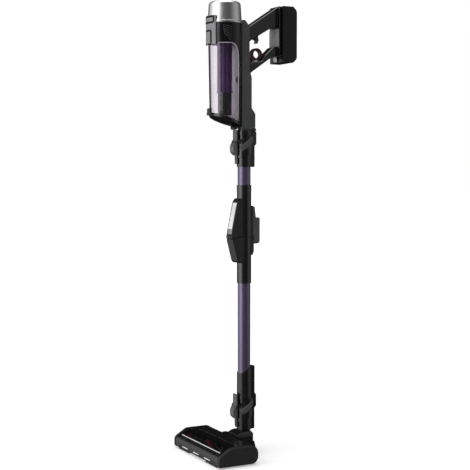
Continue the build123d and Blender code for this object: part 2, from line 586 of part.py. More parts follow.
def make_flex_joint():
    """Folding joint, built round its split plane at Z = 0."""
    at = Pos(0, 0, FLEX_Z)
    bore = TUBE_RADIUS + BOND_GAP
    duct = HOSE_RADIUS + HOSE_RIB_DEPTH / 2 + MOVE_GAP
    far = HEAD_WIDTH
    half = FLEX_HALF_WIDTH
    front = FLEX_PIVOT_Y - KNUCKLE_RADIUS
    ear_x = KNUCKLE_HALF_WIDTH + MOVE_GAP
    outer_x = half - 1.5
    pin_hole = FLEX_PIN_RADIUS
    clear = KNUCKLE_RADIUS + MOVE_GAP

    lower_corners = [
        (0, -FLEX_BODY_LOWER), (-SLEEVE_RADIUS - 4, -FLEX_BODY_LOWER),
        (-SLEEVE_RADIUS - 9, -FLEX_BODY_LOWER + 5),
        (front + 2, -7), (front + 3, -MOVE_GAP), (SLEEVE_RADIUS + 1, -MOVE_GAP), (SLEEVE_RADIUS + 1, -34),
        (SLEEVE_RADIUS - 2, -44), (0, -44),
    ]
    lower = side_prism(lower_corners, half, [0, 4, 4, 2, 0, 0, 3, 2, 0])
    lower += cyl_z(SLEEVE_RADIUS, -FLEX_LOWER, -MOVE_GAP)
    boss = cyl_x(6.5, -half - 2, half + 2, -SLEEVE_RADIUS + 2, -FLEX_BODY_LOWER + 8)
    lower += boss
    lower -= cyl_x(clear, ear_x - MOVE_GAP, far, FLEX_PIVOT_Y, 0)
    lower -= cyl_x(clear, -far, -ear_x + MOVE_GAP, FLEX_PIVOT_Y, 0)
    lower += cyl_x(KNUCKLE_RADIUS, -KNUCKLE_HALF_WIDTH, KNUCKLE_HALF_WIDTH, FLEX_PIVOT_Y, 0)
    lower -= cyl_x(pin_hole, -far, far, FLEX_PIVOT_Y, 0)
    lower -= cyl_z(bore, -far, -FLEX_BODY_LOWER)
    lower -= cyl_z(duct, -FLEX_BODY_LOWER - 1, far)
    parts["flex_lower_housing"] = at * lower

    lean_top_y = -SLEEVE_RADIUS - 7
    upper_corners = [
        (0, FLEX_BODY_UPPER + 6), (-SLEEVE_RADIUS - 1, FLEX_BODY_UPPER + 5), (lean_top_y, FLEX_BODY_UPPER - 3),
        (front + 0.8, 7), (front + 3, MOVE_GAP), (SLEEVE_RADIUS, MOVE_GAP), (SLEEVE_RADIUS, 70), (0, 84),
    ]
    upper = side_prism(upper_corners, half - 2, [0, 4, 4, 2, 0, 0, 4, 0])
    upper += cyl_z(SLEEVE_RADIUS, MOVE_GAP, FLEX_UPPER)
    pocket = button_outline(FLEX_BUTTON_THICKNESS + FLEX_BUTTON_TRAVEL + MOVE_GAP, -1.5, MOVE_GAP)
    upper -= side_prism(pocket, FLEX_BUTTON_HALF_WIDTH + MOVE_GAP)
    upper -= cyl_x(clear, -ear_x, ear_x, FLEX_PIVOT_Y, 0)
    for side in (1, -1):
        middle = side * (ear_x + outer_x) / 2
        knuckle = Rot(0, 90, 0) * Cylinder(KNUCKLE_RADIUS, outer_x - ear_x)
        upper += Pos(middle, FLEX_PIVOT_Y, 0) * knuckle
    upper -= cyl_x(pin_hole + RUN_GAP, -far, far, FLEX_PIVOT_Y, 0)
    upper -= cyl_z(bore, FLEX_BODY_LOWER, far)
    upper -= cyl_z(duct, -far, FLEX_BODY_LOWER + 1)
    parts["flex_upper_housing"] = at * upper

    parts["flex_pin"] = at * cyl_x(FLEX_PIN_RADIUS, -outer_x, outer_x, FLEX_PIVOT_Y, 0)
    panel_outline = button_outline(FLEX_BUTTON_THICKNESS, 0, 0)
    panel = side_prism(panel_outline, FLEX_BUTTON_HALF_WIDTH, [1.5, 1.5, 1.2, 1.2])
    parts["flex_button"] = at * panel
    parts["flex_rear_cover"] = at * make_rear_cover()
    parts["flex_hose"] = at * make_hose()


def button_outline(thickness, proud, margin):
    """Side outline of the slanting release panel, or of the pocket behind it."""
    top = (-SLEEVE_RADIUS - 7.5, FLEX_BODY_UPPER - 5)
    bottom = (FLEX_PIVOT_Y - KNUCKLE_RADIUS, 8.0)
    length = math.hypot(top[0] - bottom[0], top[1] - bottom[1])
    along = ((top[0] - bottom[0]) / length, (top[1] - bottom[1]) / length)
    inward = (along[1], -along[0])

    def point(base, step, depth):
        return (base[0] + along[0] * step + inward[0] * depth, base[1] + along[1] * step + inward[1] * depth)

    return [point(top, margin, proud), point(bottom, -margin, proud),
            point(bottom, -margin, thickness), point(top, margin, thickness)]


def make_rear_cover():
    """Cover over the back of the folding joint, open towards the wand."""
    rear = REAR_COVER_DEPTH
    near = SLEEVE_RADIUS + 1 + MOVE_GAP
    inner = SLEEVE_RADIUS + SEAM
    wall = REAR_COVER_WALL
    corners = [(near, -17), (rear, -17), (rear, 47), (rear - 11, 48), (rear - 14, 74), (inner, 76), (inner, 2),
               (near, 2)]
    cover = side_prism(corners, REAR_COVER_HALF_WIDTH, [0, 8, 3, 2, 4, 0, 0, 0])
    cover = fillet(cover.edges().filter_by(Axis.Z).group_by(Axis.Y)[-1], 4)
    hollow = [(near - 4, -17 + wall), (rear - wall, -17 + wall), (rear - wall, 44), (near - 4, 44)]
    cover -= side_prism(hollow, REAR_COVER_HALF_WIDTH - wall)
    return cover - cyl_z(SLEEVE_RADIUS, -HEAD_WIDTH, HEAD_WIDTH)


def make_hose():
    """Ribbed hose inside the folding joint, with plain ends."""
    end = HOSE_RADIUS
    pitch = (2 * HOSE_HALF_LENGTH - 2 * end) / HOSE_RIBS
    low = HOSE_RADIUS - HOSE_RIB_DEPTH / 2
    high = HOSE_RADIUS + HOSE_RIB_DEPTH / 2
    stations = [(-HOSE_HALF_LENGTH, low)]
    for rib in range(HOSE_RIBS):
        foot = -HOSE_HALF_LENGTH + end + rib * pitch
        for share, radius in ((0.1, low), (0.35, high), (0.6, high), (0.85, low)):
            stations.append((foot + share * pitch, radius))
    stations.append((HOSE_HALF_LENGTH, low))
    rings = [Plane.XY.offset(z) * Circle(radius) for z, radius in stations]
    ribbed = loft(rings, ruled=True)
    return ribbed - cyl_z(low - HOSE_WALL, -HOSE_HALF_LENGTH - 1, HOSE_HALF_LENGTH + 1)


make_neck()
make_connectors()
make_tubes()
make_flex_joint()


# Hand unit, built with the top of the wand's connector at Z = 0
LID_FRONT_Y = CUP_Y - CUP_RADIUS
CAP_BOTTOM = CUP_TOP + HOUSING_HEIGHT
INLET_Z = CUP_TOP - 85.0
INLET_RADIUS = 8.0


def lid_z(y):
    """Height of the slanting lid's upper face."""
    return LID_FRONT - LID_SLOPE * (y - LID_FRONT_Y)


def lid_slab(raise_top, lower_bottom):
    """Slanting slab between two planes parallel to the lid's upper face."""
    front = LID_FRONT_Y - 40
    rear = LID_FRONT_Y + 3 * CUP_RADIUS
    corners = [
        (front, lid_z(front) + raise_top), (rear, lid_z(rear) + raise_top),
        (rear, lid_z(rear) - lower_bottom), (front, lid_z(front) - lower_bottom),
    ]
    return side_prism(corners, 2 * CUP_RADIUS)


def cup_cone(grow):
    """Tapered round space that the cup fills, grown outwards by an amount."""
    cone = Cone(CUP_RADIUS - CUP_DRAFT + grow, CUP_RADIUS + grow, CUP_TOP)
    return Pos(0, CUP_Y, CUP_TOP / 2) * cone


def behind(y):
    """All the space behind a plane across the object."""
    return box(-2 * CUP_RADIUS, 2 * CUP_RADIUS, y, 2 * CUP_RADIUS, -CUP_TOP, 2 * CUP_TOP)


def make_cup():
    """Clear cup, its lid and what the lid turns and latches on."""
    cup = cup_cone(0) - cup_cone(-CUP_WALL)
    cup -= lid_slab(SEAM, CUP_TOP)
    cup -= cyl_y(INLET_RADIUS + SEAM, CUP_Y, 0, INLET_Z)
    parts["dust_cup"] = cup
    seal = cyl_y(INLET_RADIUS, CUP_Y + CUP_RADIUS - 5, 0, INLET_Z) & cup_cone(CRADLE_WALL + 2 * SEAM)
    parts["inlet_seal"] = seal - cyl_y(INLET_RADIUS - 2, CUP_Y, 0, INLET_Z)

    lid_radius = CUP_RADIUS - CUP_DRAFT + LID_RIM
    lid = cyl_z(lid_radius, -CUP_TOP, CUP_TOP, CUP_Y) & lid_slab(0, LID_THICKNESS)
    lid -= behind(LID_REAR_Y)
    knuckle = LID_KNUCKLE_RADIUS
    arm_z = lid_z(LID_REAR_Y) - LID_THICKNESS
    arm_y = LID_REAR_Y - MOVE_GAP
    arm = [(LID_PIN_Y, LID_PIN_Z + knuckle), (arm_y, arm_z - 1.5), (arm_y, arm_z + 1.5),
           (LID_REAR_Y - 9, arm_z + 4), (LID_PIN_Y - knuckle, LID_PIN_Z)]
    lid += side_prism(arm, knuckle)
    lid += cyl_x(knuckle, -knuckle, knuckle, LID_PIN_Y, LID_PIN_Z)
    lid -= cyl_x(LID_PIN_RADIUS + RUN_GAP, -CUP_TOP, CUP_TOP, LID_PIN_Y, LID_PIN_Z)
    groove_radius = lid_radius - CUP_WALL - LID_RIM - 1
    seal_width = 2.5
    groove = tube_z(groove_radius, groove_radius - seal_width, -CUP_TOP, CUP_TOP, CUP_Y) & lid_slab(1, 2)
    groove -= behind(LID_REAR_Y - seal_width)
    parts["lid_seal"] = groove
    lid -= groove
    latch_y = LID_FRONT_Y - 1.5
    ear_x = LID_LATCH_HALF_WIDTH + MOVE_GAP
    ear_front = latch_y - 2.5
    ear_rear = LID_FRONT_Y + 4
    ear_corners = [(ear_rear, LID_FRONT - 7), (ear_front, LID_FRONT - 7), (ear_front, LID_FRONT + 1),
                   (ear_rear, LID_FRONT - 2)]
    ears = mirrored(side_slab(ear_corners, ear_x, ear_x + LATCH_EAR, [0, 2, 2, 0]))
    pin_z = LID_FRONT - 3
    pin_radius = 1.5
    reach = ear_x + LATCH_EAR
    parts["cup_lid"] = lid + ears + cyl_x(pin_radius, -reach, reach, latch_y, pin_z)
    lever_corners = [(latch_y + 2.5, pin_z - 3), (latch_y - 2.5, pin_z - 3), (latch_y - 3.5, pin_z + 3),
                     (latch_y - 3, pin_z + 13), (latch_y + 1.5, pin_z + 13)]
    lever = side_prism(lever_corners, LID_LATCH_HALF_WIDTH, [1, 1.5, 2, 1.5, 1])
    parts["lid_latch"] = lever - cyl_x(pin_radius + RUN_GAP, -CUP_TOP, CUP_TOP, latch_y, pin_z)
    parts["lid_pin"] = cyl_x(LID_PIN_RADIUS, -2 * knuckle, 2 * knuckle, LID_PIN_Y, LID_PIN_Z)


def make_cyclone():
    """Ribbed cyclone that hangs from the motor housing, and the dark skirt under it."""
    top = CUP_TOP
    bottom = top - CYCLONE_LENGTH
    rib_depth = 1.6
    ring = Circle(CYCLONE_RADIUS - rib_depth)
    groove_share = 0.5
    rib_width = 2 * math.pi * CYCLONE_RADIUS / CYCLONE_RIBS * groove_share
    for rib in range(CYCLONE_RIBS):
        ring += Rot(0, 0, rib * 360 / CYCLONE_RIBS) * Pos(CYCLONE_RADIUS - rib_depth, 0) * Rectangle(
            2 * rib_depth, rib_width)
    shroud = Pos(0, CUP_Y, bottom) * extrude(ring, CYCLONE_LENGTH)
    shroud += cyl_z(CYCLONE_RADIUS + 9, top - 4, top, CUP_Y)
    shroud += cyl_z(CYCLONE_RADIUS + 1.5, bottom, bottom + 4, CUP_Y)
    parts["cyclone_shroud"] = shroud - cyl_z(CYCLONE_BORE, bottom - 1, top + 1, CUP_Y)
    skirt_bottom = lid_z(CUP_Y - SKIRT_RADIUS) + 2
    skirt = cyl_z(SKIRT_RADIUS, skirt_bottom, bottom, CUP_Y)
    parts["cyclone_skirt"] = skirt - cyl_z(SKIRT_RADIUS - 2, skirt_bottom + 2, bottom + 1, CUP_Y)


def make_motor_unit():
    """Motor housing with its vents, the motor, fan, filters and bright cap."""
    z0 = CUP_TOP
    z1 = CAP_BOTTOM
    plan = Pos(0, CUP_Y) * Circle(HOUSING_RADIUS)
    flank = HOUSING_RADIUS - 1.0
    rear_half = HOUSING_REAR_HALF_WIDTH
    rear = SPINE_FRONT_Y
    tail = Polyline((-flank, CUP_Y), (flank, CUP_Y), (rear_half, rear), (-rear_half, rear), close=True)
    plan += make_face(tail)
    body = Pos(0, 0, z0) * extrude(plan, z1 - z0)
    body -= cyl_z(HOUSING_RADIUS - HOUSING_WALL, z0 + HOUSING_WALL, z1 + 1, CUP_Y)
    body -= cyl_z(CYCLONE_BORE, z0 - 1, z1, CUP_Y)
    vent_count = 6
    vent_length = 25.0
    vent_width = 1.8
    vent_pitch = 5.0
    vent_around = 73.0
    for side in (1, -1):
        for vent in range(vent_count):
            lean = 12 + vent * 6
            slot = Rot(-side * lean, 0, 0) * Box(8, vent_length, vent_width)
            slot = Rot(0, 0, side * vent_around - 90) * Pos(HOUSING_RADIUS, 0, 0) * slot
            body -= Pos(0, CUP_Y, (z0 + z1) / 2 + (vent_count / 2 - 0.5 - vent) * vent_pitch) * slot
    panel_half = 34.0
    panel_bottom = z0 - 5
    panel_top = z1 + 17
    wedge = side_wedge(panel_half, panel_bottom, panel_top)
    panel_ring = tube_z(HOUSING_RADIUS + 3, HOUSING_RADIUS + 1, panel_bottom, panel_top, CUP_Y)
    panel = panel_ring & wedge
    spacer = tube_z(HOUSING_RADIUS + 1, HOUSING_RADIUS, z0, z1, CUP_Y) & side_wedge(panel_half - 6, z0, z1)
    button_half = 13.0
    button_low = panel_bottom + 2
    button_high = button_low + 28
    pocket = side_wedge(button_half + 0.8, button_low - 3, button_high + MOVE_GAP)
    panel -= pocket & tube_z(HOUSING_RADIUS + 9, HOUSING_RADIUS + 0.9, panel_bottom - 1, panel_top, CUP_Y)
    parts["front_panel"] = panel + spacer - (
        pocket & tube_z(HOUSING_RADIUS + 9, HOUSING_RADIUS - 1, z0 - 1, button_high + MOVE_GAP, CUP_Y))
    button = tube_z(HOUSING_RADIUS + 4, HOUSING_RADIUS + 1.8, button_low, button_high, CUP_Y)
    stem_z = button_high - 8
    stem = cyl_y(3, CUP_Y - HOUSING_RADIUS - 2.5, CUP_Y - HOUSING_RADIUS + 8, stem_z)
    parts["cup_release_button"] = (button & side_wedge(button_half, button_low, button_high)) + stem
    body -= cyl_y(3 + 2 * RUN_GAP, CUP_Y - 2 * HOUSING_RADIUS, CUP_Y - HOUSING_RADIUS / 2, stem_z)
    parts["motor_housing"] = body

    floor = z0 + HOUSING_WALL
    pre_filter = tube_z(HOUSING_RADIUS - HOUSING_WALL - SEAM - 9, 6, floor, floor + 9, CUP_Y)
    parts["pre_filter"] = pre_filter
    fan_z = floor + 12
    fan_radius = 25.0
    fan_height = 9.0
    fan = cyl_z(fan_radius, fan_z, fan_z + 2, CUP_Y) + cyl_z(7, fan_z, fan_z + fan_height, CUP_Y)
    blade_count = 9
    for blade in range(blade_count):
        vane = Rot(0, 0, blade * 360 / blade_count) * Pos(15, 3, fan_z + fan_height / 2) * Rot(0, 0, 25) * Box(
            18, 1.4, fan_height)
        fan += Pos(0, CUP_Y, 0) * vane
    shaft_radius = 2.5
    motor_z = fan_z + fan_height + 2
    fan += cyl_z(shaft_radius, fan_z, motor_z + 20, CUP_Y)
    parts["impeller"] = fan
    motor_radius = 24.0
    motor = cyl_z(motor_radius, motor_z, motor_z + 38, CUP_Y)
    motor = chamfer(motor.edges().filter_by(GeomType.CIRCLE), 2)
    parts["suction_motor"] = motor - cyl_z(shaft_radius + RUN_GAP, motor_z - 1, motor_z + 21, CUP_Y)
    mount = tube_z(HOUSING_RADIUS - HOUSING_WALL - SEAM, motor_radius, motor_z + 6, motor_z + 12, CUP_Y)
    for hole in range(8):
        mount -= Pos(0, CUP_Y, motor_z + 9) * Rot(0, 0, hole * 45) * Pos(31.5, 0, 0) * Cylinder(5, 12)
    parts["motor_mount"] = mount

    cap_top = z1 + CAP_HEIGHT
    side_radius = HOUSING_RADIUS - 1
    top_radius = HOUSING_RADIUS - 4
    lip_radius = HOUSING_RADIUS + 0.5
    profile = [(0, z1), (lip_radius, z1), (lip_radius, z1 + CAP_LIP), (side_radius, z1 + CAP_LIP),
               (top_radius, cap_top), (0, cap_top)]
    cap_face = Plane.XZ * make_face(FilletPolyline(*profile, radius=[0, 1, 1, 0.5, 8, 0], close=True))
    cap = revolve(cap_face, Axis.Z)
    hollow_top = cap_top - CAP_WALL
    hollow_radius = top_radius - CAP_WALL
    hollow = [(0, z1 - 1), (HOUSING_RADIUS - CAP_WALL - 1.2, z1 - 1), (hollow_radius, hollow_top - 6),
              (hollow_radius - 6, hollow_top), (0, hollow_top)]
    hollow_face = Plane.XZ * make_face(Polyline(*hollow, close=True))
    cap -= revolve(hollow_face, Axis.Z)
    slot_count = 18
    for slot in range(slot_count):
        cut = Pos(22, 0, cap_top) * Box(16, 2.4, 8)
        cap -= Rot(0, 0, slot * 360 / slot_count) * cut
    parts["exhaust_cap"] = Pos(0, CUP_Y, 0) * cap
    filter_outer = top_radius - CAP_WALL - 2
    pleats = 30
    ring = Circle(filter_outer - 3)
    for pleat in range(pleats):
        ring += Rot(0, 0, pleat * 360 / pleats) * Pos(filter_outer - 3, 0) * Rectangle(5, 4)
    ring -= Circle(motor_radius + 3)
    filter_z = motor_z + 12
    pack = Pos(0, CUP_Y, filter_z) * extrude(ring, cap_top - CAP_WALL - 8 - filter_z)
    parts["exhaust_filter"] = pack


def side_wedge(half_angle, z0, z1):
    """Wedge of space in front of the cup's axis, for pieces that wrap round it."""
    reach = 3 * HOUSING_RADIUS
    x = reach * math.sin(math.radians(half_angle))
    y = reach * math.cos(math.radians(half_angle))
    plan = make_face(Polyline((0, CUP_Y), (-x, CUP_Y - y), (x, CUP_Y - y), close=True))
    return Pos(0, 0, z0) * extrude(plan, z1 - z0)


def spine_block(half_width):
    """Side outline of the spine, extruded to a given width."""
    front = SPINE_FRONT_Y
    rear = SPINE_REAR_Y
    foot = rear + 10
    corners = [(front, 10), (rear - 2, 0.6), (foot, 8), (foot, 40), (rear, 54), (rear, 127), (GRIP_Y, 147),
               (GRIP_Y, SPINE_TOP - 14), (front + 9, SPINE_TOP), (front, SPINE_TOP)]
    return side_prism(corners, half_width, [1, 1, 1, 4, 6, 12, 12, 2, 1, 1])


def make_spine():
    """Air duct up the back of the cup, with the nozzle that plugs into the wand."""
    front = SPINE_FRONT_Y
    rear = SPINE_REAR_Y
    spine = spine_block(SPINE_HALF_WIDTH)
    nozzle_radius = TUBE_RADIUS
    nozzle_wall = 2.4
    nozzle_top = -MOVE_GAP
    spine += cyl_z(nozzle_radius, -TUBE_INSERT - 8, nozzle_top)
    spine += box(-nozzle_radius, nozzle_radius, front, rear, nozzle_top - 1, 12) & cyl_z(nozzle_radius, -2, 12)
    cradle_grow = CRADLE_WALL + 2 * SEAM
    spine -= cup_cone(cradle_grow + SEAM)
    wall = SPINE_WALL
    duct_front = CUP_Y + CUP_RADIUS + cradle_grow + SEAM + wall
    spine -= box(-SPINE_HALF_WIDTH + wall, SPINE_HALF_WIDTH - wall, duct_front, rear - wall, 12,
                 INLET_Z + INLET_RADIUS + 2)
    spine -= cyl_z(nozzle_radius - nozzle_wall, -TUBE_INSERT - 9, nozzle_top - wall)
    throat = nozzle_radius - nozzle_wall - 2
    spine -= box(-throat, throat, duct_front, rear - wall - 2, nozzle_top - wall - 1, 13)
    spine -= cyl_z(HOUSING_RADIUS + SEAM, CUP_TOP - SEAM, CAP_BOTTOM, CUP_Y)
    spine -= cyl_z(HOUSING_RADIUS + 2 * MOVE_GAP, CAP_BOTTOM - MOVE_GAP, 2 * CAP_BOTTOM, CUP_Y)
    spine -= cyl_y(INLET_RADIUS - 2, front - 1, 0, INLET_Z)
    parts["spine_duct"] = spine

    cradle = cup_cone(cradle_grow) - cup_cone(2 * SEAM) - cradle_window()
    cradle -= box(-CUP_TOP, CUP_TOP, -CUP_TOP, CUP_TOP, CUP_TOP - SEAM, 2 * CUP_TOP)
    cradle -= lid_slab(2 * MOVE_GAP, CUP_TOP) - behind(LID_REAR_Y + MOVE_GAP)
    cradle -= lid_slab(-LID_THICKNESS, CUP_TOP)
    shelf = (cup_cone(cradle_grow) & lid_slab(0, LID_THICKNESS)) & behind(LID_REAR_Y + MOVE_GAP)
    ear_x = LID_KNUCKLE_RADIUS + MOVE_GAP
    ear_front = LID_REAR_Y + MOVE_GAP
    ear_rear = LID_PIN_Y + 8
    ear = [(ear_front, LID_PIN_Z), (LID_PIN_Y + 4.5, LID_PIN_Z), (ear_rear, LID_PIN_Z + 4),
           (ear_rear, LID_PIN_Z + 6.5), (ear_front, LID_PIN_Z + 8)]
    lug = side_slab(ear, ear_x, 2 * LID_KNUCKLE_RADIUS)
    lug += cyl_x(LID_KNUCKLE_RADIUS - MOVE_GAP, ear_x, 2 * LID_KNUCKLE_RADIUS, LID_PIN_Y, LID_PIN_Z)
    cradle += shelf + mirrored(lug)
    cradle -= cyl_x(LID_PIN_RADIUS, -CUP_TOP, CUP_TOP, LID_PIN_Y, LID_PIN_Z)
    cradle -= cyl_y(INLET_RADIUS + SEAM, CUP_Y, 0, INLET_Z)
    parts["cup_cradle"] = cradle


def cradle_window():
    """Side outline of the opening in the cradle, with its upper back corner rounded off."""
    edge = CRADLE_EDGE_Y
    foot = CUP_TOP - CRADLE_SHOULDER_DROP
    start = CRADLE_SHOULDER_Y
    shoulder = Bezier((start, CUP_TOP), (edge - 8, CUP_TOP), (edge, CUP_TOP - 16), (edge, foot))
    far = CUP_Y - 2 * CUP_RADIUS
    outline = Polyline((edge, foot), (edge, -CUP_TOP), (far, -CUP_TOP), (far, CUP_TOP), (start, CUP_TOP))
    return extrude(Plane.YZ * make_face(shoulder + outline), amount=2 * CUP_RADIUS, both=True)


def make_handle():
    """Handle loop behind the spine, its battery dock, grey post panel, and the ring trigger."""
    grip = GRIP_Y
    top = HANDLE_TOP
    dock = DOCK_Y
    loop = [
        (grip, 250), (84, top - 1.5), (dock + DOCK_THICKNESS, top), (dock + DOCK_THICKNESS, 184),
        (80, 183), (67, 177), (17, 143), (grip, 134), (grip, 163), (30, 166), (42, 169), (51, 184), (73, 204),
        (dock, 204), (dock, 251), (67, 249), (14, 218), (grip, 212),
    ]
    radii = [0, 3, 0, 0, 5, 6, 6, 0, 0, 6, 6, 6, 6, 2, 2, 8, 6, 0]
    frame = side_prism(loop, GRIP_HALF_WIDTH, radii)
    edges = frame.faces().filter_by(Axis.X).edges()
    frame = chamfer(edges, GRIP_CHAMFER)
    dock_plate = box(-DOCK_HALF_WIDTH, DOCK_HALF_WIDTH, dock, dock + DOCK_THICKNESS, 184, top)
    dock_plate = fillet(dock_plate.edges().filter_by(Axis.Y), 4)
    frame += dock_plate
    hook = [(22, 220), (35, 231), (37, 219), (34, 211), (30, 211), (31, 218), (26, 222)]
    frame += side_prism(hook, TRIGGER_HALF_WIDTH, [0, 0, 2, 1.6, 1.6, 2, 1])
    frame -= spine_block(2 * GRIP_HALF_WIDTH)
    parts["handle_frame"] = frame
    post = box(-DOCK_HALF_WIDTH + 1.5, DOCK_HALF_WIDTH - 1.5, dock - 2, dock, 205.5, 247)
    post -= frame
    parts["handle_panel"] = post

    pin_y = grip + 5
    pin_z = TRIGGER_Z - 3
    half = TRIGGER_HALF_WIDTH
    ring = cyl_x(TRIGGER_RADIUS, -half, half, TRIGGER_Y, TRIGGER_Z)
    base_z = TRIGGER_Z - TRIGGER_RADIUS
    arm = [(pin_y - 3, pin_z - 7), (TRIGGER_Y - 12, base_z - 1.5), (TRIGGER_Y + 4, base_z + 0.5),
           (TRIGGER_Y, TRIGGER_Z), (pin_y - 3, pin_z + 7)]
    ring += side_prism(arm, half, [3, 2, 1, 0, 3])
    ring -= cyl_x(TRIGGER_HOLE, -CUP_TOP, CUP_TOP, TRIGGER_Y, TRIGGER_Z)
    ring -= cyl_x(TRIGGER_PIN_RADIUS + RUN_GAP, -CUP_TOP, CUP_TOP, pin_y, pin_z)
    parts["trigger"] = ring
    ear = [(grip, pin_z - 8), (pin_y, pin_z - 5), (pin_y + 4, pin_z), (pin_y, pin_z + 5), (grip, pin_z + 8)]
    lug = side_slab(ear, half + MOVE_GAP, half + MOVE_GAP + 3, [0, 3, 2, 3, 0])
    lug -= cyl_x(TRIGGER_PIN_RADIUS, -CUP_TOP, CUP_TOP, pin_y, pin_z)
    parts["spine_duct"] += mirrored(lug)
    reach = half + MOVE_GAP + 3
    parts["trigger_pin"] = cyl_x(TRIGGER_PIN_RADIUS, -reach, reach, pin_y, pin_z)


def make_battery():
    """Battery pack behind the dock: faceted case, cells and release button."""
    front = DOCK_Y + DOCK_THICKNESS + MOVE_GAP
    rear = BATTERY_REAR_Y
    low = BATTERY_BOTTOM
    top = HANDLE_TOP
    cut = 13.0
    corners = [(front, low), (rear - cut, low), (rear, low + cut),
               (rear, top - cut), (rear - cut, top), (front, top)]
    half = BATTERY_HALF_WIDTH
    case = side_prism(corners, half, [2, 3, 3, 3, 3, 2])
    side_cut = 5.0
    facet = rear - side_cut
    plan = make_face(Polyline((-half, front - 1), (half, front - 1), (half, facet), (half - side_cut, rear),
                              (-half + side_cut, rear), (-half, facet), close=True))
    case &= Pos(0, 0, low - 1) * extrude(plan, top - low + 2)
    for y in (front + 9, front + 18, front + 27):
        groove = box(half - 0.6, half + 1, y, y + 2, low + 14, top - 14)
        case -= mirrored(groove)
    wall = BATTERY_WALL
    back = rear - 2 * wall
    bend = rear - cut - wall
    hollow = [(front + wall, low + wall), (bend, low + wall), (back, low + cut + 2 * wall),
              (back, top - cut - 2 * wall), (bend, top - wall), (front + wall, top - wall)]
    case -= side_prism(hollow, half - side_cut - wall)
    button_z = low + BATTERY_BUTTON_RADIUS + 2
    travel = 2.5
    seat = front + wall - 1
    case -= cyl_y(BATTERY_BUTTON_RADIUS / 2 + 2 * RUN_GAP, front - 1, front + wall + 1, button_z)
    parts["battery_case"] = case
    button = cyl_y(BATTERY_BUTTON_RADIUS, front - travel - 3, front - travel - MOVE_GAP, button_z)
    button = fillet(button.edges().filter_by(GeomType.CIRCLE).group_by(Axis.Y)[0], 1)
    button += cyl_y(BATTERY_BUTTON_RADIUS / 2, front - travel - 1, seat, button_z)
    parts["battery_button"] = button
    cells = []
    step = CELL_RADIUS + 4 * RUN_GAP
    front_row = front + wall + step
    middle_z = (low + top) / 2
    for x in (-step, step):
        for y, z in ((front_row, middle_z - CELL_LENGTH / 2),
                     (front_row, middle_z + CELL_LENGTH / 2 + MOVE_GAP),
                     (front_row + 2 * step, middle_z)):
            cells.append(Pos(x, y, z) * Cylinder(CELL_RADIUS, CELL_LENGTH))
    parts["battery_cells"] = Compound(children=cells)


HAND_PIECES_FROM = len(parts)
make_cup()
make_cyclone()
make_motor_unit()
make_spine()
make_handle()
make_battery()
for name in list(parts)[HAND_PIECES_FROM:]:
    parts[name] = Pos(0, 0, HAND_Z) * parts[name]

os.makedirs("parts", exist_ok=True)
for name, solid in parts.items():
    export_step(solid, f"parts/{name}.step")
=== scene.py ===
import json
import math
import random

import bmesh
import bpy
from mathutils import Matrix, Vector


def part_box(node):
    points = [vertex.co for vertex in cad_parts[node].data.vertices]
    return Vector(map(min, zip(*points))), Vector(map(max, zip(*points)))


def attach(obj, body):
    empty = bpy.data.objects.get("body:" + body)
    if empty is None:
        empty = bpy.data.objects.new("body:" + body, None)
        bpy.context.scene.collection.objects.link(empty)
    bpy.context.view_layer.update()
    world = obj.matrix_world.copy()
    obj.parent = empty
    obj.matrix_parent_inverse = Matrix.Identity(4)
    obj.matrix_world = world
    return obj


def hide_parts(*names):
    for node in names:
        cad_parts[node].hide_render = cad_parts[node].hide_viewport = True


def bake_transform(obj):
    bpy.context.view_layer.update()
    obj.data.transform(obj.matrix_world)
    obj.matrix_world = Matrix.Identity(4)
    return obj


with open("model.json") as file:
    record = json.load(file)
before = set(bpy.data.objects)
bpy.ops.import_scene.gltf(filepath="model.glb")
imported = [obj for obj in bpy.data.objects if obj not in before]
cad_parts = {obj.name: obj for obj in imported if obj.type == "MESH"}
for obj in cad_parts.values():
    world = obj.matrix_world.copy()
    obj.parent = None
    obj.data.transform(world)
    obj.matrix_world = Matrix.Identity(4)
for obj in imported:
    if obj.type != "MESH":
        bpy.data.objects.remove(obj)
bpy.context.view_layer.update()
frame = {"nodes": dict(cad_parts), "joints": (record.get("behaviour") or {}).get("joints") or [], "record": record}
NODES = frame["nodes"]
JOINTS = {joint["name"]: joint for joint in frame["joints"]}

# Places taken from the part, in metres. The cup's radius is at its top and shrinks by the draft to its foot.
BRUSH_Y, BRUSH_Z = JOINTS["brush_spin"]["pos_m"][1:]
BRUSH_HALF = 0.102
BRUSH_SLEEVE = 0.0122
BRUSH_TIP = 0.0185
FLEX_Z = JOINTS["flex_fold"]["pos_m"][2]
HOSE_HALF = 0.058
HOSE_RADIUS = 0.014
COLLAR_RADIUS = 0.0208
CUP_Y = -0.053
CUP_RADIUS = 0.0395
CUP_DRAFT = 0.0035
CUP_HEIGHT = 0.207
CUP_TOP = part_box("dust_cup")[1].z
HOUSING_RADIUS = 0.042

# Looks: the cradle's inner face painted pale as painted light seen through the cup, painted highlight and shade in
# stripes on the cyclone's ribs, and grain and softened edges in metres
PAINTED_LIGHT_DEPTH = 0.0009
PAINTED_LIGHT_HEIGHT = 0.186
CYCLONE_PAINTED_STRIPES = 12
CLEAR_IOR = 1.45
GRAIN_HEIGHT = 0.0002
FLOCK_HEIGHT = 0.0004
MOULDED_EDGE = 0.0006
DRAWN_EDGE = 0.0005
RIB_EDGE = 0.0004

# Sockets of the colour mix node
MIX_SHARE = 0
MIX_FIRST = 6
MIX_SECOND = 7
MIX_COLOUR = 2

# Outline of a trim bead: shares of its width and height
BEAD_SECTION = [(-0.5, -0.4), (-0.5, 0.45), (-0.3, 1.0), (0.3, 1.0), (0.5, 0.45), (0.5, -0.4)]

# Starts in front of a piece, above it and beside it, for lines that look for a face
FAR_FRONT = -0.2
FAR_UP = 0.2
FAR_SIDE = 0.1

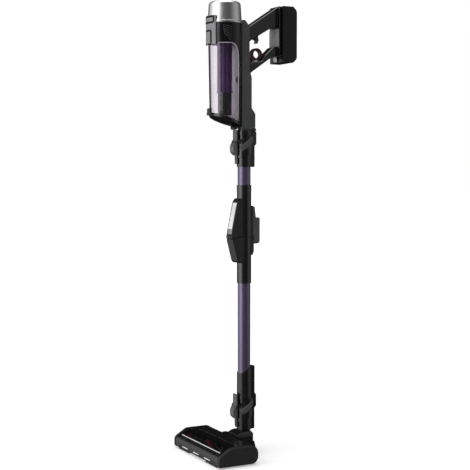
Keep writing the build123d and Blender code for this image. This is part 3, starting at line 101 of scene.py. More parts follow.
# Camera: the side of the wand that it stands on, lengths in metres, pitch in degrees, lens in millimetres
CAMERA_SIDE = Vector((0.883, -0.469, 0.0))
CAMERA_RIGHT = Vector((0.469, 0.883, 0.0))
CAMERA_DISTANCE = 2.7
CAMERA_HEIGHT = 0.693
CAMERA_OFFSET = -0.0221
CAMERA_PITCH = 3.31
CAMERA_LENS = 84.65
CAMERA_SENSOR = 36.0

# Studio: light levels, distances on the floor from the origin, and the point that the lamps are aimed at
SKY_LEVEL = 0.36
FLOOR_SIZE = 30
FLOOR_GLOW_NEAR = 0.36
FLOOR_GLOW_FAR = 0.9
FLOOR_FADE_START = 0.3
FLOOR_FADE_END = 1.4
HEAD_SHADE = 0.22
LIT_MIDDLE = Vector((0, -0.03, 0.6))

# Bands that gloss sees: shares of a turn from behind the object round by the left, with their levels
GLOSS_BANDS = [
    (0.0, 0.015), (0.09, 0.02), (0.12, 0.05), (0.18, 1.0), (0.385, 1.0), (0.42, 0.14), (0.47, 0.1),
    (0.57, 0.08), (0.68, 0.06), (0.74, 0.36), (0.8, 0.4), (0.86, 0.1), (0.93, 0.02), (1.0, 0.015),
]

# Lamps: metres to the right, to the front and up from that point, then width and height, then power
SOFTBOXES = {
    "left_softbox": ((-1.6, 0.9, 0.5), (1.8, 2.4), 20),
    "right_softbox": ((1.8, 0.5, 0.4), (1.6, 2.0), 2.5),
    "top_softbox": ((0, 0, 1.7), (1.4, 1.4), 16),
}


def new_material(name):
    """A material with its shader and an object-space coordinate."""
    made = bpy.data.materials.new(name)
    made.use_nodes = True
    tree = made.node_tree
    shader = tree.nodes["Principled BSDF"]
    place = tree.nodes.new("ShaderNodeTexCoord")
    return made, tree, shader, place.outputs["Object"]


def feed(tree, socket, value):
    """Link a socket to another node's output, or set it to a constant."""
    if isinstance(value, bpy.types.NodeSocket):
        tree.links.new(value, socket)
    else:
        socket.default_value = value


def maths(tree, operation, *values):
    """The result of one operation on outputs and constants."""
    node = tree.nodes.new("ShaderNodeMath")
    node.operation = operation
    for socket, value in zip(node.inputs, values):
        feed(tree, socket, value)
    return node.outputs[0]


def vector_maths(tree, operation, result, *values):
    """A named result of one vector operation on outputs and constants."""
    node = tree.nodes.new("ShaderNodeVectorMath")
    node.operation = operation
    for socket, value in zip(node.inputs, values):
        feed(tree, socket, value)
    return node.outputs[result]


def split(tree, vector):
    """The three parts of a vector."""
    node = tree.nodes.new("ShaderNodeSeparateXYZ")
    tree.links.new(vector, node.inputs[0])
    return node.outputs


def map_range(tree, value, from_low, from_high, to_low=0.0, to_high=1.0, course="LINEAR"):
    """A value carried from one range to another."""
    node = tree.nodes.new("ShaderNodeMapRange")
    node.interpolation_type = course
    node.inputs["From Min"].default_value = from_low
    node.inputs["From Max"].default_value = from_high
    node.inputs["To Min"].default_value = to_low
    node.inputs["To Max"].default_value = to_high
    tree.links.new(value, node.inputs["Value"])
    return node.outputs["Result"]


def noise(tree, place, scale, detail=3.0):
    """A noise texture read in metres."""
    node = tree.nodes.new("ShaderNodeTexNoise")
    node.inputs["Scale"].default_value = scale
    node.inputs["Detail"].default_value = detail
    tree.links.new(place, node.inputs["Vector"])
    return node.outputs["Fac"]


def spread(tree, value, low, high):
    """The middle of a noise spread over a range."""
    return map_range(tree, value, 0.3, 0.7, low, high)


def two_tone(tree, share, first, second):
    """A colour between two tones, each a constant or another node's output."""
    node = tree.nodes.new("ShaderNodeMix")
    node.data_type = "RGBA"
    tree.links.new(share, node.inputs[MIX_SHARE])
    for socket, tone in ((MIX_FIRST, first), (MIX_SECOND, second)):
        if isinstance(tone, tuple):
            tone = (*tone, 1)
        feed(tree, node.inputs[socket], tone)
    return node.outputs[MIX_COLOUR]


def roughen(tree, shader, height, strength, distance, edge=0.0):
    """Surface grain, with moulded edges softened where asked."""
    bump = tree.nodes.new("ShaderNodeBump")
    bump.inputs["Strength"].default_value = strength
    bump.inputs["Distance"].default_value = distance
    tree.links.new(height, bump.inputs["Height"])
    if edge:
        soft = tree.nodes.new("ShaderNodeBevel")
        soft.samples = 4
        soft.inputs["Radius"].default_value = edge
        tree.links.new(soft.outputs["Normal"], bump.inputs["Normal"])
    tree.links.new(bump.outputs["Normal"], shader.inputs["Normal"])


def uneven_gloss(tree, shader, place, rough):
    """Roughness that varies a little from place to place."""
    smear = noise(tree, place, 70.0, 5.0)
    tree.links.new(spread(tree, smear, rough * 0.85, rough * 1.18), shader.inputs["Roughness"])


def scaled(colour, factor):
    """A colour made lighter or darker."""
    return tuple(min(1.0, channel * factor) for channel in colour)


def plastic(name, colour, rough, grain=900.0, grain_depth=0.12, specular=0.35):
    """Moulded plastic: drifting tone, uneven gloss and a fine eroded grain."""
    made, tree, shader, place = new_material(name)
    drift = spread(tree, noise(tree, place, 22.0), 0, 1)
    tone = two_tone(tree, drift, scaled(colour, 0.85), scaled(colour, 1.15))
    tree.links.new(tone, shader.inputs["Base Color"])
    uneven_gloss(tree, shader, place, rough)
    shader.inputs["Specular IOR Level"].default_value = specular
    roughen(tree, shader, noise(tree, place, grain, 2.0), grain_depth, GRAIN_HEIGHT, MOULDED_EDGE)
    return made


def metal(name, colour, rough, along=(1, 1, 1), grain=500.0, depth=0.05, bare=1.0):
    """Metal with fine drawing lines along one direction, bare or under a satin paint."""
    made, tree, shader, place = new_material(name)
    stretch = tree.nodes.new("ShaderNodeMapping")
    stretch.inputs["Scale"].default_value = along
    tree.links.new(place, stretch.inputs["Vector"])
    lines = noise(tree, stretch.outputs["Vector"], grain, 4.0)
    tone = two_tone(tree, spread(tree, lines, 0, 1), scaled(colour, 0.9), scaled(colour, 1.1))
    tree.links.new(tone, shader.inputs["Base Color"])
    tree.links.new(spread(tree, lines, rough * 0.8, rough * 1.2), shader.inputs["Roughness"])
    shader.inputs["Metallic"].default_value = bare
    roughen(tree, shader, lines, depth, GRAIN_HEIGHT, DRAWN_EDGE)
    return made


def clear(name, colour, rough=0.03, edge=None):
    """Clear moulded plastic, uneven in its gloss, with painted shade: darker in colour where it is seen edge on.
    """
    made, tree, shader, place = new_material(name)
    drift = noise(tree, place, 30.0, 2.0)
    body = two_tone(tree, spread(tree, drift, 0, 1), scaled(colour, 0.97), scaled(colour, 1.03))
    # Painted shade: the edge colour stands in for the dark refraction at the silhouette
    facing = tree.nodes.new("ShaderNodeLayerWeight")
    facing.inputs["Blend"].default_value = 0.5
    painted_edge_shade = map_range(tree, facing.outputs["Facing"], 0.5, 0.68)
    tree.links.new(two_tone(tree, painted_edge_shade, body, edge or colour), shader.inputs["Base Color"])
    tree.links.new(spread(tree, drift, rough * 0.6, rough * 1.6), shader.inputs["Roughness"])
    shader.inputs["Transmission Weight"].default_value = 1.0
    shader.inputs["IOR"].default_value = CLEAR_IOR
    return made


def painted_light_inside(name, outside, inside, rough):
    """Plastic shell round the cup with a pale inner face: painted light that stands in for the bright background
    seen through the clear cup.
    """
    made, tree, shader, place = new_material(name)
    offset = vector_maths(tree, "SUBTRACT", "Vector", place, (0, CUP_Y, CUP_TOP))
    flat = vector_maths(tree, "MULTIPLY", "Vector", offset, (1, 1, 0))
    away = vector_maths(tree, "LENGTH", "Value", flat)
    height = split(tree, offset)["Z"]
    untapered = maths(tree, "MULTIPLY_ADD", height, -CUP_DRAFT / CUP_HEIGHT, away)
    # Painted light: the pale tone is laid on the cradle's inner face round the cup
    within = maths(tree, "LESS_THAN", untapered, CUP_RADIUS + PAINTED_LIGHT_DEPTH)
    above = maths(tree, "GREATER_THAN", height, -PAINTED_LIGHT_HEIGHT)
    painted_light_share = maths(tree, "MULTIPLY", within, above)
    tree.links.new(two_tone(tree, painted_light_share, outside, inside), shader.inputs["Base Color"])
    uneven_gloss(tree, shader, place, rough)
    roughen(tree, shader, noise(tree, place, 900.0, 2.0), 0.12, GRAIN_HEIGHT, MOULDED_EDGE)
    return made


def painted_rib_stripes(name, painted_groove_shade, painted_crest_light, rough):
    """Ribbed plastic with painted highlight and shade: light and dark stripes in turn round the cup's axis."""
    made, tree, shader, place = new_material(name)
    offset = split(tree, vector_maths(tree, "SUBTRACT", "Vector", place, (0, CUP_Y, 0)))
    turn = maths(tree, "ARCTAN2", offset["X"], offset["Y"])
    wave = maths(tree, "SINE", maths(tree, "MULTIPLY", turn, CYCLONE_PAINTED_STRIPES))
    # Painted highlight on the light stripes and painted shade on the dark ones
    level = map_range(tree, wave, -0.6, 0.6)
    tree.links.new(two_tone(tree, level, painted_groove_shade, painted_crest_light), shader.inputs["Base Color"])
    uneven_gloss(tree, shader, place, rough)
    roughen(tree, shader, noise(tree, place, 500.0, 2.0), 0.05, GRAIN_HEIGHT, RIB_EDGE)
    return made


def fibre(name, dark, light, grain=1800.0, rough=0.8, sheen=0.3):
    """Felt, filter paper or nylon strands."""
    made, tree, shader, place = new_material(name)
    flock = noise(tree, place, grain, 4.0)
    tree.links.new(two_tone(tree, spread(tree, flock, 0, 1), dark, light), shader.inputs["Base Color"])
    shader.inputs["Roughness"].default_value = rough
    shader.inputs["Sheen Weight"].default_value = sheen
    roughen(tree, shader, flock, 0.5, FLOCK_HEIGHT)
    return made


def glow(name, colour, strength):
    """A lit lamp behind a lens."""
    made, tree, shader, place = new_material(name)
    dots = spread(tree, noise(tree, place, 400.0), 0, 1)
    tree.links.new(two_tone(tree, dots, scaled(colour, 0.9), colour), shader.inputs["Emission Color"])
    shader.inputs["Emission Strength"].default_value = strength
    shader.inputs["Roughness"].default_value = 0.3
    return made


LOOKS = {
    "black_plastic": plastic("black_plastic", (0.004, 0.004, 0.0043), 0.24, specular=0.75),
    "gloss_black": plastic("gloss_black", (0.003, 0.003, 0.0033), 0.2, 300.0, 0.03, 0.4),
    "spine_grey": plastic("spine_grey", (0.068, 0.069, 0.072), 0.42, specular=0.3),
    "button_grey": plastic("button_grey", (0.265, 0.265, 0.275), 0.38),
    "pale_panel": plastic("pale_panel", (0.93, 0.93, 0.94), 0.25, 500.0, 0.04, 0.5),
    "silver_cap": metal("silver_cap", (0.6, 0.6, 0.61), 0.36, (1, 1, 14), 300.0, 0.02),
    "tube_purple": metal("tube_purple", (0.165, 0.132, 0.217), 0.34, (1, 1, 0.05), 400.0, 0.02, 0.75),
    # Clear plastics with painted shade: a darker colour where they are seen edge on
    "clear_cup": clear("clear_cup", (0.85, 0.82, 0.865), edge=(0.03, 0.015, 0.04)),
    "smoked_window": clear("smoked_window", (0.42, 0.4, 0.42), 0.01, edge=(0.3, 0.29, 0.3)),
    "light_lens": clear("light_lens", (0.9, 0.9, 0.93), 0.12),
    # Cyclone with painted highlight and shade in stripes round its ribs
    "cyclone_purple": painted_rib_stripes("cyclone_purple", (0.03, 0.008, 0.05), (0.15, 0.05, 0.22), 0.32),
    "trigger_red": plastic("trigger_red", (0.05, 0.001, 0.006), 0.3, 600.0, 0.05, 0.4),
    "bristle_red": fibre("bristle_red", (0.13, 0.007, 0.018), (0.34, 0.02, 0.048), sheen=0.0),
    "felt": fibre("felt", (0.012, 0.012, 0.013), (0.045, 0.045, 0.047)),
    "rubber": plastic("rubber", (0.006, 0.006, 0.006), 0.6, 1200.0, 0.2, 0.15),
    "filter_white": fibre("filter_white", (0.6, 0.6, 0.57), (0.8, 0.8, 0.77), 900.0),
    "steel": metal("steel", (0.07, 0.07, 0.074), 0.35, (0.1, 1, 1)),
    "cell_green": plastic("cell_green", (0.02, 0.16, 0.08), 0.35),
    "aluminium_motor": metal("aluminium_motor", (0.6, 0.6, 0.61), 0.3, (1, 1, 8)),
}
BRISTLE_BLACK = fibre("bristle_black", (0.003, 0.003, 0.0035), (0.01, 0.01, 0.011), sheen=0.0)
END_CAP_BLACK = plastic("end_cap_black", (0.02, 0.02, 0.0205), 0.55, specular=0.3)
# Cradle with its inner face painted pale: painted light that stands in for the bright background seen through the
# clear cup
CRADLE_PAINTED_LIGHT = painted_light_inside("cradle_painted_light", (0.004, 0.004, 0.0042), (0.95, 0.88, 0.97), 0.3)
LATCH_BLACK = plastic("latch_black", (0.085, 0.085, 0.088), 0.28, specular=0.6)
COVER_BLACK = plastic("cover_black", (0.075, 0.075, 0.077), 0.5, specular=0.3)
LAMP_GLOW = glow("lamp_glow", (1.0, 0.98, 0.95), 0.9)

# Nodes whose look differs from the rest of their slot
OWN_LOOKS = {
    "end_cap_left": END_CAP_BLACK,
    "end_cap_right": END_CAP_BLACK,
    "flex_rear_cover": COVER_BLACK,
    "cup_cradle": CRADLE_PAINTED_LIGHT,
    "head_latch": LATCH_BLACK,
    "wand_latch": LATCH_BLACK,
}

for row in frame["record"]["subparts"]:
    if row["node"] in NODES:
        target = NODES[row["node"]].data
        target.materials.clear()
        target.materials.append(LOOKS[row["material_slot"]])

for node, look in OWN_LOOKS.items():
    NODES[node].data.materials[0] = look

# Clear pieces cast no shadow, so that light reaches what lies behind them
for node in ("dust_cup", "head_window"):
    NODES[node].visible_shadow = False


def finish_mesh(name, shape, materials, smooth=True):
    """A mesh object from a bmesh, with its materials."""
    data = bpy.data.meshes.new(name)
    bmesh.ops.recalc_face_normals(shape, faces=shape.faces)
    shape.to_mesh(data)
    shape.free()
    for face in data.polygons:
        face.use_smooth = smooth
    for material in materials:
        data.materials.append(material)
    made = bpy.data.objects.new(name, data)
    bpy.context.scene.collection.objects.link(made)
    return made


def add_trim(name, shape, look, body):
    """Finish a trim piece, with its material, and let it ride on a body."""
    made = finish_mesh(name, shape, [LOOKS[look]])
    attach(made, body)


def steps_between(first, last, count):
    """Evenly spaced values from one to another."""
    return [first + (last - first) * step / (count - 1) for step in range(count)]


def circle(radius, segments):
    """Evenly spaced points on a circle, as pairs."""
    angles = [2 * math.pi * step / segments for step in range(segments)]
    return [(radius * math.cos(angle), radius * math.sin(angle)) for angle in angles]


def bridge(shape, first, second):
    """The faces between two rings of corners."""
    count = len(first)
    made = []
    for corner in range(count):
        other = (corner + 1) % count
        made.append(shape.faces.new((first[corner], first[other], second[other], second[corner])))
    return made


def loft(shape, rings):
    """A closed skin over a row of rings."""
    for first, second in zip(rings, rings[1:]):
        bridge(shape, first, second)
    shape.faces.new(rings[0])
    shape.faces.new(reversed(rings[-1]))


def strip(shape, line, width, height, closed=False):
    """A low crowned bead along a line on a surface, given as points with their outward directions."""
    points = [point for point, _ in line]
    last = len(points) - 1
    rings = []
    for index, (point, out) in enumerate(line):
        before = points[index - 1] if closed or index else points[0]
        after = points[(index + 1) % len(points)] if closed or index < last else points[-1]
        side = (after - before).cross(out).normalized()
        ring = []
        for across, up in BEAD_SECTION:
            ring.append(shape.verts.new(point + side * across * width + out * up * height))
        rings.append(ring)
    if closed:
        for first, second in zip(rings, rings[1:] + rings[:1]):
            bridge(shape, first, second)
    else:
        loft(shape, rings)


def boss(shape, centre, out, profile, segments=32):
    """A small turned form that stands on a surface, from its radii and heights."""
    turn = out.to_track_quat("Z", "Y").to_matrix()
    rings = []
    for radius, height in profile:
        ring = []
        for across, along in circle(radius, segments):
            ring.append(shape.verts.new(centre + turn @ Vector((across, along, height))))
        rings.append(ring)
    loft(shape, rings)


def side_block(shape, corners, half, base):
    """A block across the object from its side outline in millimetres above a height."""
    rings = []
    for x in (-half, half):
        rings.append([shape.verts.new((x, y / 1000, base + z / 1000)) for y, z in corners])
    loft(shape, rings)


def surface(node, start, way):
    """Where a straight line first meets a CAD node, and the way that its face looks."""
    hit, place, normal, _ = NODES[node].ray_cast(Vector(start), Vector(way))
    if not hit:
        raise ValueError(f"no face of {node} lies that way")
    return place, normal


def on_roll(x, angle, radius, around):
    """A point of the brush roll, from its angle and radius with a small step round the roll."""
    local = Vector((x, math.cos(angle) * radius - math.sin(angle) * around,
                    math.sin(angle) * radius + math.cos(angle) * around))
    return local + Vector((0, BRUSH_Y, BRUSH_Z))


def make_bristles():
    """Brush strands: helical rows of tufts, two red and four black, on a cloth-faced sleeve."""
    rows = 6
    red_every = 3
    red_strands, black_strands = 16, 7
    red_fan, black_fan = 0.3, 0.05
    tufts = 110
    tuft_half = 0.0008
    sweep = math.radians(165)
    first = math.radians(81)
    reach = BRUSH_HALF - 0.005
    sleeve_end = BRUSH_HALF - 0.002
    sleeve_shoulder = BRUSH_HALF - 0.003
    sleeve_low = BRUSH_SLEEVE - 0.0009
    sleeve_segments = 40
    root = BRUSH_SLEEVE - 0.0005
    trim = 0.0011
    most_lean = 0.03
    lean_along = 0.02
    thickness = 0.00022
    tip_share = 0.6
    draw = random.Random(11)
    shape = bmesh.new()
    rings = []
    for x, radius in ((-sleeve_end, sleeve_low), (-sleeve_shoulder, BRUSH_SLEEVE),
                      (sleeve_shoulder, BRUSH_SLEEVE), (sleeve_end, sleeve_low)):
        ring = []
        for y, z in circle(radius, sleeve_segments):
            ring.append(shape.verts.new((x, BRUSH_Y + y, BRUSH_Z + z)))
        rings.append(ring)
    loft(shape, rings)
    for face in shape.faces:
        face.material_index = 1
    for row in range(rows):
        red = row % red_every == 0
        fan = red_fan if red else black_fan
        for tuft in range(tufts):
            middle = -reach + 2 * reach * tuft / (tufts - 1)
            for _ in range(red_strands if red else black_strands):
                x = middle + draw.uniform(-tuft_half, tuft_half)
                lean = draw.uniform(-most_lean, most_lean)
                twist = first + sweep * x / BRUSH_HALF
                angle = row * 2 * math.pi / rows + twist + draw.uniform(-fan, fan)
                tip = BRUSH_TIP - draw.uniform(0, trim)
                feet = []
                heads = []
                for side, around in circle(thickness, 3):
                    head_x = x + lean * lean_along + side * tip_share
                    feet.append(shape.verts.new(on_roll(x + side, angle, root, around)))
                    heads.append(shape.verts.new(on_roll(head_x, angle + lean, tip, around * tip_share)))
                made = [shape.faces.new(heads)] + bridge(shape, feet, heads)
                for face in made:
                    face.material_index = 0 if red else 1
    brush = finish_mesh("brush_strands", shape, [LOOKS["bristle_red"], BRISTLE_BLACK])
    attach(brush, "brush")
    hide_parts("brush_bristles")


def make_hose():
    """Ribbed hose at the folding joint."""
    ribs = 15
    rib_steps = 8
    rib_height = 0.0018
    segments = 48
    wall = 0.0016
    plain = 0.012
    root = HOSE_RADIUS - 0.0009
    pitch = 2 * (HOSE_HALF - plain) / ribs
    outside = [(-HOSE_HALF, HOSE_RADIUS)]
    for rib in range(ribs):
        for step in range(rib_steps):
            swell = 0.5 - 0.5 * math.cos(2 * math.pi * step / rib_steps)
            along = (rib + step / rib_steps) * pitch
            outside.append((-HOSE_HALF + plain + along, root + rib_height * swell))
    outside.append((HOSE_HALF, root))
    inside = [(z, radius - wall) for z, radius in reversed(outside)]
    shape = bmesh.new()
    rings = []
    for z, radius in outside + inside:
        rings.append([shape.verts.new((x, y, FLEX_Z + z)) for x, y in circle(radius, segments)])
    for low, high in zip(rings, rings[1:] + rings[:1]):
        bridge(shape, low, high)
    hose = finish_mesh("flex_bellows", shape, [LOOKS["rubber"]])
    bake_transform(hose)
    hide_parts("flex_hose")


def make_glides():
    """Felt glides under the front lip: crowned strips with a flocked, uneven face."""
    low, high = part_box("glide_pads")
    length = 0.060
    steps = 60
    end_pinch = 0.0006
    crown_in = 0.0007
    crown_up = 0.0008
    nap = 0.00012
    draw = random.Random(5)
    shape = bmesh.new()
    for x0 in (low.x, high.x - length):
        rings = []
        for step in range(steps + 1):
            x = x0 + length * step / steps
            pinch = end_pinch if step in (0, steps) else 0.0
            front = low.y + pinch
            back = high.y - pinch
            ring = []
            for y, z in ((front, high.z), (front, low.z + crown_up), (front + crown_in, low.z),
                         (back - crown_in, low.z), (back, low.z + crown_up), (back, high.z)):
                lift = draw.uniform(0, nap) if z < high.z - 0.001 else 0.0
                ring.append(shape.verts.new((x, y, z + lift)))
            rings.append(ring)
        loft(shape, rings)
    felt = finish_mesh("glide_felt", shape, [LOOKS["felt"]])
    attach(felt, "floor_head")
    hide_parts("glide_pads")


def make_window_highlight():
    """Pale bead along the front of the window, as a painted highlight on its front edge."""
    end_gap = 0.003
    inset = 0.0055
    low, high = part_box("head_window")
    line = []
    for x in steps_between(low.x + end_gap, high.x - end_gap, 40):
        line.append(surface("head_window", (x, low.y + inset, FAR_UP), (0, 0, -1)))
    shape = bmesh.new()
    # Pale bead as a painted highlight on the window's front edge
    strip(shape, line, width=0.0022, height=0.0004)
    add_trim("window_painted_highlight", shape, "pale_panel", "floor_head")


def make_lamps():
    """Three lit lamps behind the clear bar on the front of the head."""
    half = 0.015
    depth = 0.0006
    low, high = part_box("light_bar")
    middle = (low.z + high.z) / 2
    front = Vector((0, -1, 0))
    shape = bmesh.new()
    for centre in (-0.060, 0.0, 0.060):
        line = []
        for x in steps_between(centre - half, centre + half, 12):
            line.append((Vector((x, low.y + depth, middle)), front))
        strip(shape, line, width=0.0015, height=0.0004)
    lamps = finish_mesh("head_lamps", shape, [LAMP_GLOW])
    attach(lamps, "floor_head")


def on_cup(side, y, z):
    """A point on the tapered cup's side wall and its outward direction."""
    radius = CUP_RADIUS - CUP_DRAFT * (CUP_TOP - z) / CUP_HEIGHT
    across = math.sqrt(max(0.0, radius ** 2 - (y - CUP_Y) ** 2))
    out = Vector((side * across, y - CUP_Y, 0)).normalized()
    return Vector((side * across, y, z)), out


def make_cup_rims():
    """Pale rim of the cup: under the motor housing, round the shoulder and down to the lid."""
    top = CUP_TOP - 0.0014
    edge = -0.0333
    shoulder = -0.0592
    bend_end = CUP_TOP - 0.045
    straight_start = CUP_TOP - 0.049
    straight_end = CUP_TOP - 0.183
    corners = [Vector((shoulder, top)), Vector((edge - 0.008, top)), Vector((edge, top - 0.016)),
               Vector((edge, bend_end))]
    places = []
    for turn in steps_between(38, 98, 24):
        y = CUP_Y - CUP_RADIUS * math.cos(math.radians(turn))
        if y < shoulder:
            places.append((y, top))
    for share in steps_between(0.0, 1.0, 24):
        rest = 1 - share
        bend = (corners[0] * rest ** 3 + corners[1] * 3 * rest ** 2 * share
                + corners[2] * 3 * rest * share ** 2 + corners[3] * share ** 3)
        places.append((bend.x, bend.y))
    for z in steps_between(straight_start, straight_end, 30):
        places.append((edge, z))
    shape = bmesh.new()
    for side in (1, -1):
        line = [on_cup(side, y, z) for y, z in places]
        strip(shape, line, width=0.0012, height=0.0007)
    add_trim("cup_rim", shape, "pale_panel", "wand_upper")


def panel_loop(half_turn, low, high, corner, radius):
    """A rounded rectangle wrapped on the front panel, as points with their outward directions."""
    step_length = 0.0015
    half = math.radians(half_turn) * radius
    centres = [(half - corner, high - corner, 0), (-half + corner, high - corner, 90),
               (-half + corner, low + corner, 180), (half - corner, low + corner, 270)]
    flat = []
    for along, up, start in centres:
        for turn in steps_between(start, start + 90, 8):
            angle = math.radians(turn)
            flat.append(Vector((along + corner * math.cos(angle), up + corner * math.sin(angle))))
    line = []
    for first, second in zip(flat, flat[1:] + flat[:1]):
        pieces = max(1, round((second - first).length / step_length))
        for piece in range(pieces):
            along, up = first.lerp(second, piece / pieces)
            out = Vector((math.sin(along / radius), -math.cos(along / radius), 0))
            line.append((Vector((0, CUP_Y, up)) + out * radius, out))
    return line


def make_panel_trim():
    """Black bezel at the top of the bare front panel and round the cup's release button."""
    low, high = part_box("front_panel")
    radius = CUP_Y - low.y
    button_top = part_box("cup_release_button")[1].z
    shape = bmesh.new()
    top_loop = panel_loop(half_turn=27, low=high.z - 0.017, high=high.z - 0.003, corner=0.004, radius=radius)
    strip(shape, top_loop, width=0.0046, height=0.0006, closed=True)
    button_loop = panel_loop(half_turn=16.5, low=low.z + 0.0012, high=button_top + 0.0025, corner=0.003,
                             radius=radius)
    strip(shape, button_loop, width=0.0042, height=0.0006, closed=True)
    add_trim("panel_bezel", shape, "rubber", "wand_upper")


def make_grips():
    """Finger ribs on the two rocker latches."""
    side_gap = 0.0025
    for node, pivot in (("head_latch", "head_latch_press"), ("wand_latch", "wand_latch_press")):
        height = JOINTS[pivot]["pos_m"][2]
        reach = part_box(node)[1].x - side_gap
        shape = bmesh.new()
        for drop in (0.012, 0.0155, 0.019, 0.0225):
            line = []
            for x in steps_between(-reach, reach, 10):
                line.append(surface(node, (x, FAR_FRONT, height - drop), (0, 1, 0)))
            strip(shape, line, width=0.0012, height=0.0005)
        add_trim(node + "_grip", shape, "button_grey", node)


def make_caps():
    """Screw covers on the sides of the folding joint."""
    y = -0.017
    z = FLEX_Z - 0.054
    profile = [(0.0042, -0.0006), (0.0042, 0.0005), (0.0036, 0.0010), (0.0030, 0.0010), (0.0026, 0.0005),
               (0.0010, 0.0005)]
    shape = bmesh.new()
    for side in (1, -1):
        place, normal = surface("flex_lower_housing", (side * FAR_SIDE, y, z), (-side, 0, 0))
        boss(shape, place, normal, profile)
    add_trim("screw_covers", shape, "black_plastic", "wand_lower")


def make_vent_lips():
    """Fine raised lips along the fan of slanting vents on both sides of the motor housing."""
    count = 6
    pitch = 0.005
    half = 0.0115
    offset = 0.0016
    from_front = 73
    first_lean = 12
    more_lean = 6
    low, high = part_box("motor_housing")
    middle = (low.z + high.z) / 2
    shape = bmesh.new()
    for side in (1, -1):
        start = math.radians(side * from_front - 90)
        for vent in range(count):
            lean = math.radians(first_lean + vent * more_lean)
            height = middle + (count / 2 - 0.5 - vent) * pitch + offset
            line = []
            for along in steps_between(-half, half, 14):
                angle = start + along * math.cos(lean) / HOUSING_RADIUS
                out = Vector((math.cos(angle), math.sin(angle), 0))
                drop = side * along * math.sin(lean)
                line.append((Vector((0, CUP_Y, height - drop)) + out * HOUSING_RADIUS, out))
            strip(shape, line, width=0.0012, height=0.0003)
    add_trim("vent_lips", shape, "spine_grey", "wand_upper")


def make_foot():
    """Grey grip at the lower end of the white release panel."""
    side_gap = 0.0008
    rise = 0.0072
    low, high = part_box("flex_button")
    line = []
    for x in steps_between(low.x + side_gap, high.x - side_gap, 8):
        line.append(surface("flex_button", (x, FAR_FRONT, low.z + rise), (0, 1, 0)))
    shape = bmesh.new()
    strip(shape, line, width=0.0125, height=0.0006)
    add_trim("panel_foot", shape, "button_grey", "flex_button")


def make_collar_highlights():
    """Raised diagonal ridge on each side of the two latching collars, lighter grey than the collar as a painted
    highlight.
    """
    pin_height = 0.061
    middle = 0.056
    slope = 0.75
    front = -0.0165
    back = 0.0180
    for node, body, pivot in (("neck_connector", "wand_lower", "head_latch_press"),
                              ("wand_connector", "wand_upper", "wand_latch_press")):
        foot = JOINTS[pivot]["pos_m"][2] - pin_height
        shape = bmesh.new()
        for side in (1, -1):
            line = []
            for y in steps_between(front, back, 20):
                across = math.sqrt(COLLAR_RADIUS ** 2 - y ** 2)
                point = Vector((side * across, y, foot + middle + slope * y))
                line.append((point, Vector((side * across, y, 0)).normalized()))
            # Grey ridge as a painted highlight on the black collar
            strip(shape, line, width=0.0135, height=0.0018)
        add_trim(node + "_painted_highlight", shape, "spine_grey", body)


def make_fillers():
    """Rib under the trigger on the lower bar, and the gusset where the spine meets the wand."""
    base = CUP_TOP - CUP_HEIGHT
    rib = [(6.3, 163.5), (30, 166.4), (36, 168), (36, 169.1), (20, 167.6), (7.6, 173.8), (6.3, 174.4)]
    gusset = [(10.8, -0.4), (26, -0.4), (26, 2.5), (22.4, 7.9), (21.8, 7.6), (10.8, 0.9)]
    shape = bmesh.new()
    side_block(shape, rib, half=0.0055, base=base)
    side_block(shape, gusset, half=0.0145, base=base)
    bmesh.ops.bevel(shape, geom=shape.edges, offset=0.0003, segments=2, affect="EDGES")
    add_trim("hand_fillers", shape, "black_plastic", "wand_upper")


make_bristles()
make_hose()
make_glides()
make_window_highlight()
make_lamps()
make_cup_rims()
make_panel_trim()
make_grips()
make_caps()
make_vent_lips()
make_foot()
make_collar_highlights()
make_fillers()


def seen_through(tree):
    """What is known of the light's path, and one where it came only through clear plastic."""
    path = tree.nodes.new("ShaderNodeLightPath").outputs
    bounced = maths(tree, "ADD", path["Glossy Depth"], path["Diffuse Depth"])
    straight = maths(tree, "LESS_THAN", bounced, 0.5)
    return path, maths(tree, "MULTIPLY", path["Is Transmission Ray"], straight)


def make_world():
    """White to the camera and through clear plastic, soft even light, and bands of light for gloss."""
    world = bpy.data.worlds.new("studio")
    world.use_nodes = True
    bpy.context.scene.world = world
    tree = world.node_tree
    back = tree.nodes["Background"]
    path, through = seen_through(tree)
    way = tree.nodes.new("ShaderNodeTexCoord").outputs["Generated"]
    to_right = vector_maths(tree, "DOT_PRODUCT", "Value", way, CAMERA_RIGHT)
    to_front = vector_maths(tree, "DOT_PRODUCT", "Value", way, CAMERA_SIDE)
    turn = maths(tree, "ARCTAN2", to_right, to_front)
    ramp = tree.nodes.new("ShaderNodeValToRGB")
    elements = ramp.color_ramp.elements
    while len(elements) < len(GLOSS_BANDS):
        elements.new(0.5)
    for element, (share, level) in zip(elements, GLOSS_BANDS):
        element.position = share
        element.color = (level, level, level, 1)
    tree.links.new(map_range(tree, turn, -math.pi, math.pi), ramp.inputs["Fac"])
    seen = maths(tree, "MAXIMUM", path["Is Camera Ray"], through)
    light = two_tone(tree, path["Is Glossy Ray"], (SKY_LEVEL, SKY_LEVEL, SKY_LEVEL), ramp.outputs["Color"])
    tree.links.new(two_tone(tree, seen, light, (1, 1, 1)), back.inputs["Color"])
    tree.links.new(back.outputs["Background"], tree.nodes["World Output"].inputs["Surface"])


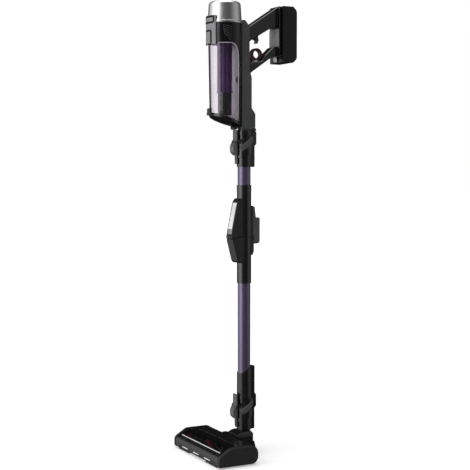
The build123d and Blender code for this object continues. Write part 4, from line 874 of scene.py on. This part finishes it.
def make_floor():
    """Pale floor that keeps the soft shadow of the head and turns white away from it."""
    shape = bmesh.new()
    bmesh.ops.create_grid(shape, x_segments=1, y_segments=1, size=FLOOR_SIZE)
    made, tree, shader, place = new_material("pale_floor")
    tone = two_tone(tree, noise(tree, place, 2.0), (0.9, 0.9, 0.9), (0.92, 0.92, 0.92))
    tree.links.new(tone, shader.inputs["Base Color"])
    shader.inputs["Roughness"].default_value = 0.9
    shader.inputs["Specular IOR Level"].default_value = 0.0
    path, through = seen_through(tree)
    away = vector_maths(tree, "LENGTH", "Value", place)
    clear_of_head = maths(tree, "GREATER_THAN", away, HEAD_SHADE)
    open_floor = maths(tree, "MULTIPLY", through, clear_of_head)
    seen = maths(tree, "MAXIMUM", path["Is Camera Ray"], open_floor)
    level = map_range(tree, away, FLOOR_FADE_START, FLOOR_FADE_END, FLOOR_GLOW_NEAR, FLOOR_GLOW_FAR,
                      "SMOOTHSTEP")
    white = tree.nodes.new("ShaderNodeEmission")
    tree.links.new(maths(tree, "MULTIPLY", seen, level), white.inputs["Strength"])
    both = tree.nodes.new("ShaderNodeAddShader")
    tree.links.new(shader.outputs["BSDF"], both.inputs[0])
    tree.links.new(white.outputs["Emission"], both.inputs[1])
    tree.links.new(both.outputs["Shader"], tree.nodes["Material Output"].inputs["Surface"])
    floor = finish_mesh("floor", shape, [made], False)
    floor.visible_glossy = False


def add_softbox(name, offset, size, power):
    """A large rectangular lamp pointed at the middle of the object."""
    to_right, to_front, up = offset
    data = bpy.data.lights.new(name, "AREA")
    data.shape = "RECTANGLE"
    data.size, data.size_y = size
    data.energy = power
    lamp = bpy.data.objects.new(name, data)
    place = LIT_MIDDLE + CAMERA_RIGHT * to_right + CAMERA_SIDE * to_front + Vector((0, 0, up))
    lamp.location = place
    lamp.rotation_mode = "QUATERNION"
    lamp.rotation_quaternion = (LIT_MIDDLE - place).to_track_quat("-Z", "Y")
    bpy.context.scene.collection.objects.link(lamp)


def make_camera():
    """Camera at the photograph's viewing angle."""
    data = bpy.data.cameras.new("camera")
    data.sensor_width = CAMERA_SENSOR
    data.lens = CAMERA_LENS
    camera = bpy.data.objects.new("camera", data)
    camera.location = (CAMERA_SIDE * CAMERA_DISTANCE + CAMERA_RIGHT * CAMERA_OFFSET
                       + Vector((0, 0, CAMERA_HEIGHT)))
    pitch = math.radians(CAMERA_PITCH)
    ahead = -CAMERA_SIDE * math.cos(pitch) - Vector((0, 0, math.sin(pitch)))
    camera.rotation_mode = "QUATERNION"
    camera.rotation_quaternion = ahead.to_track_quat("-Z", "Y")
    bpy.context.scene.collection.objects.link(camera)
    bpy.context.scene.camera = camera


make_world()
make_floor()
for name, (offset, size, power) in SOFTBOXES.items():
    add_softbox(name, offset, size, power)
make_camera()

bpy.context.scene.view_settings.view_transform = "Standard"
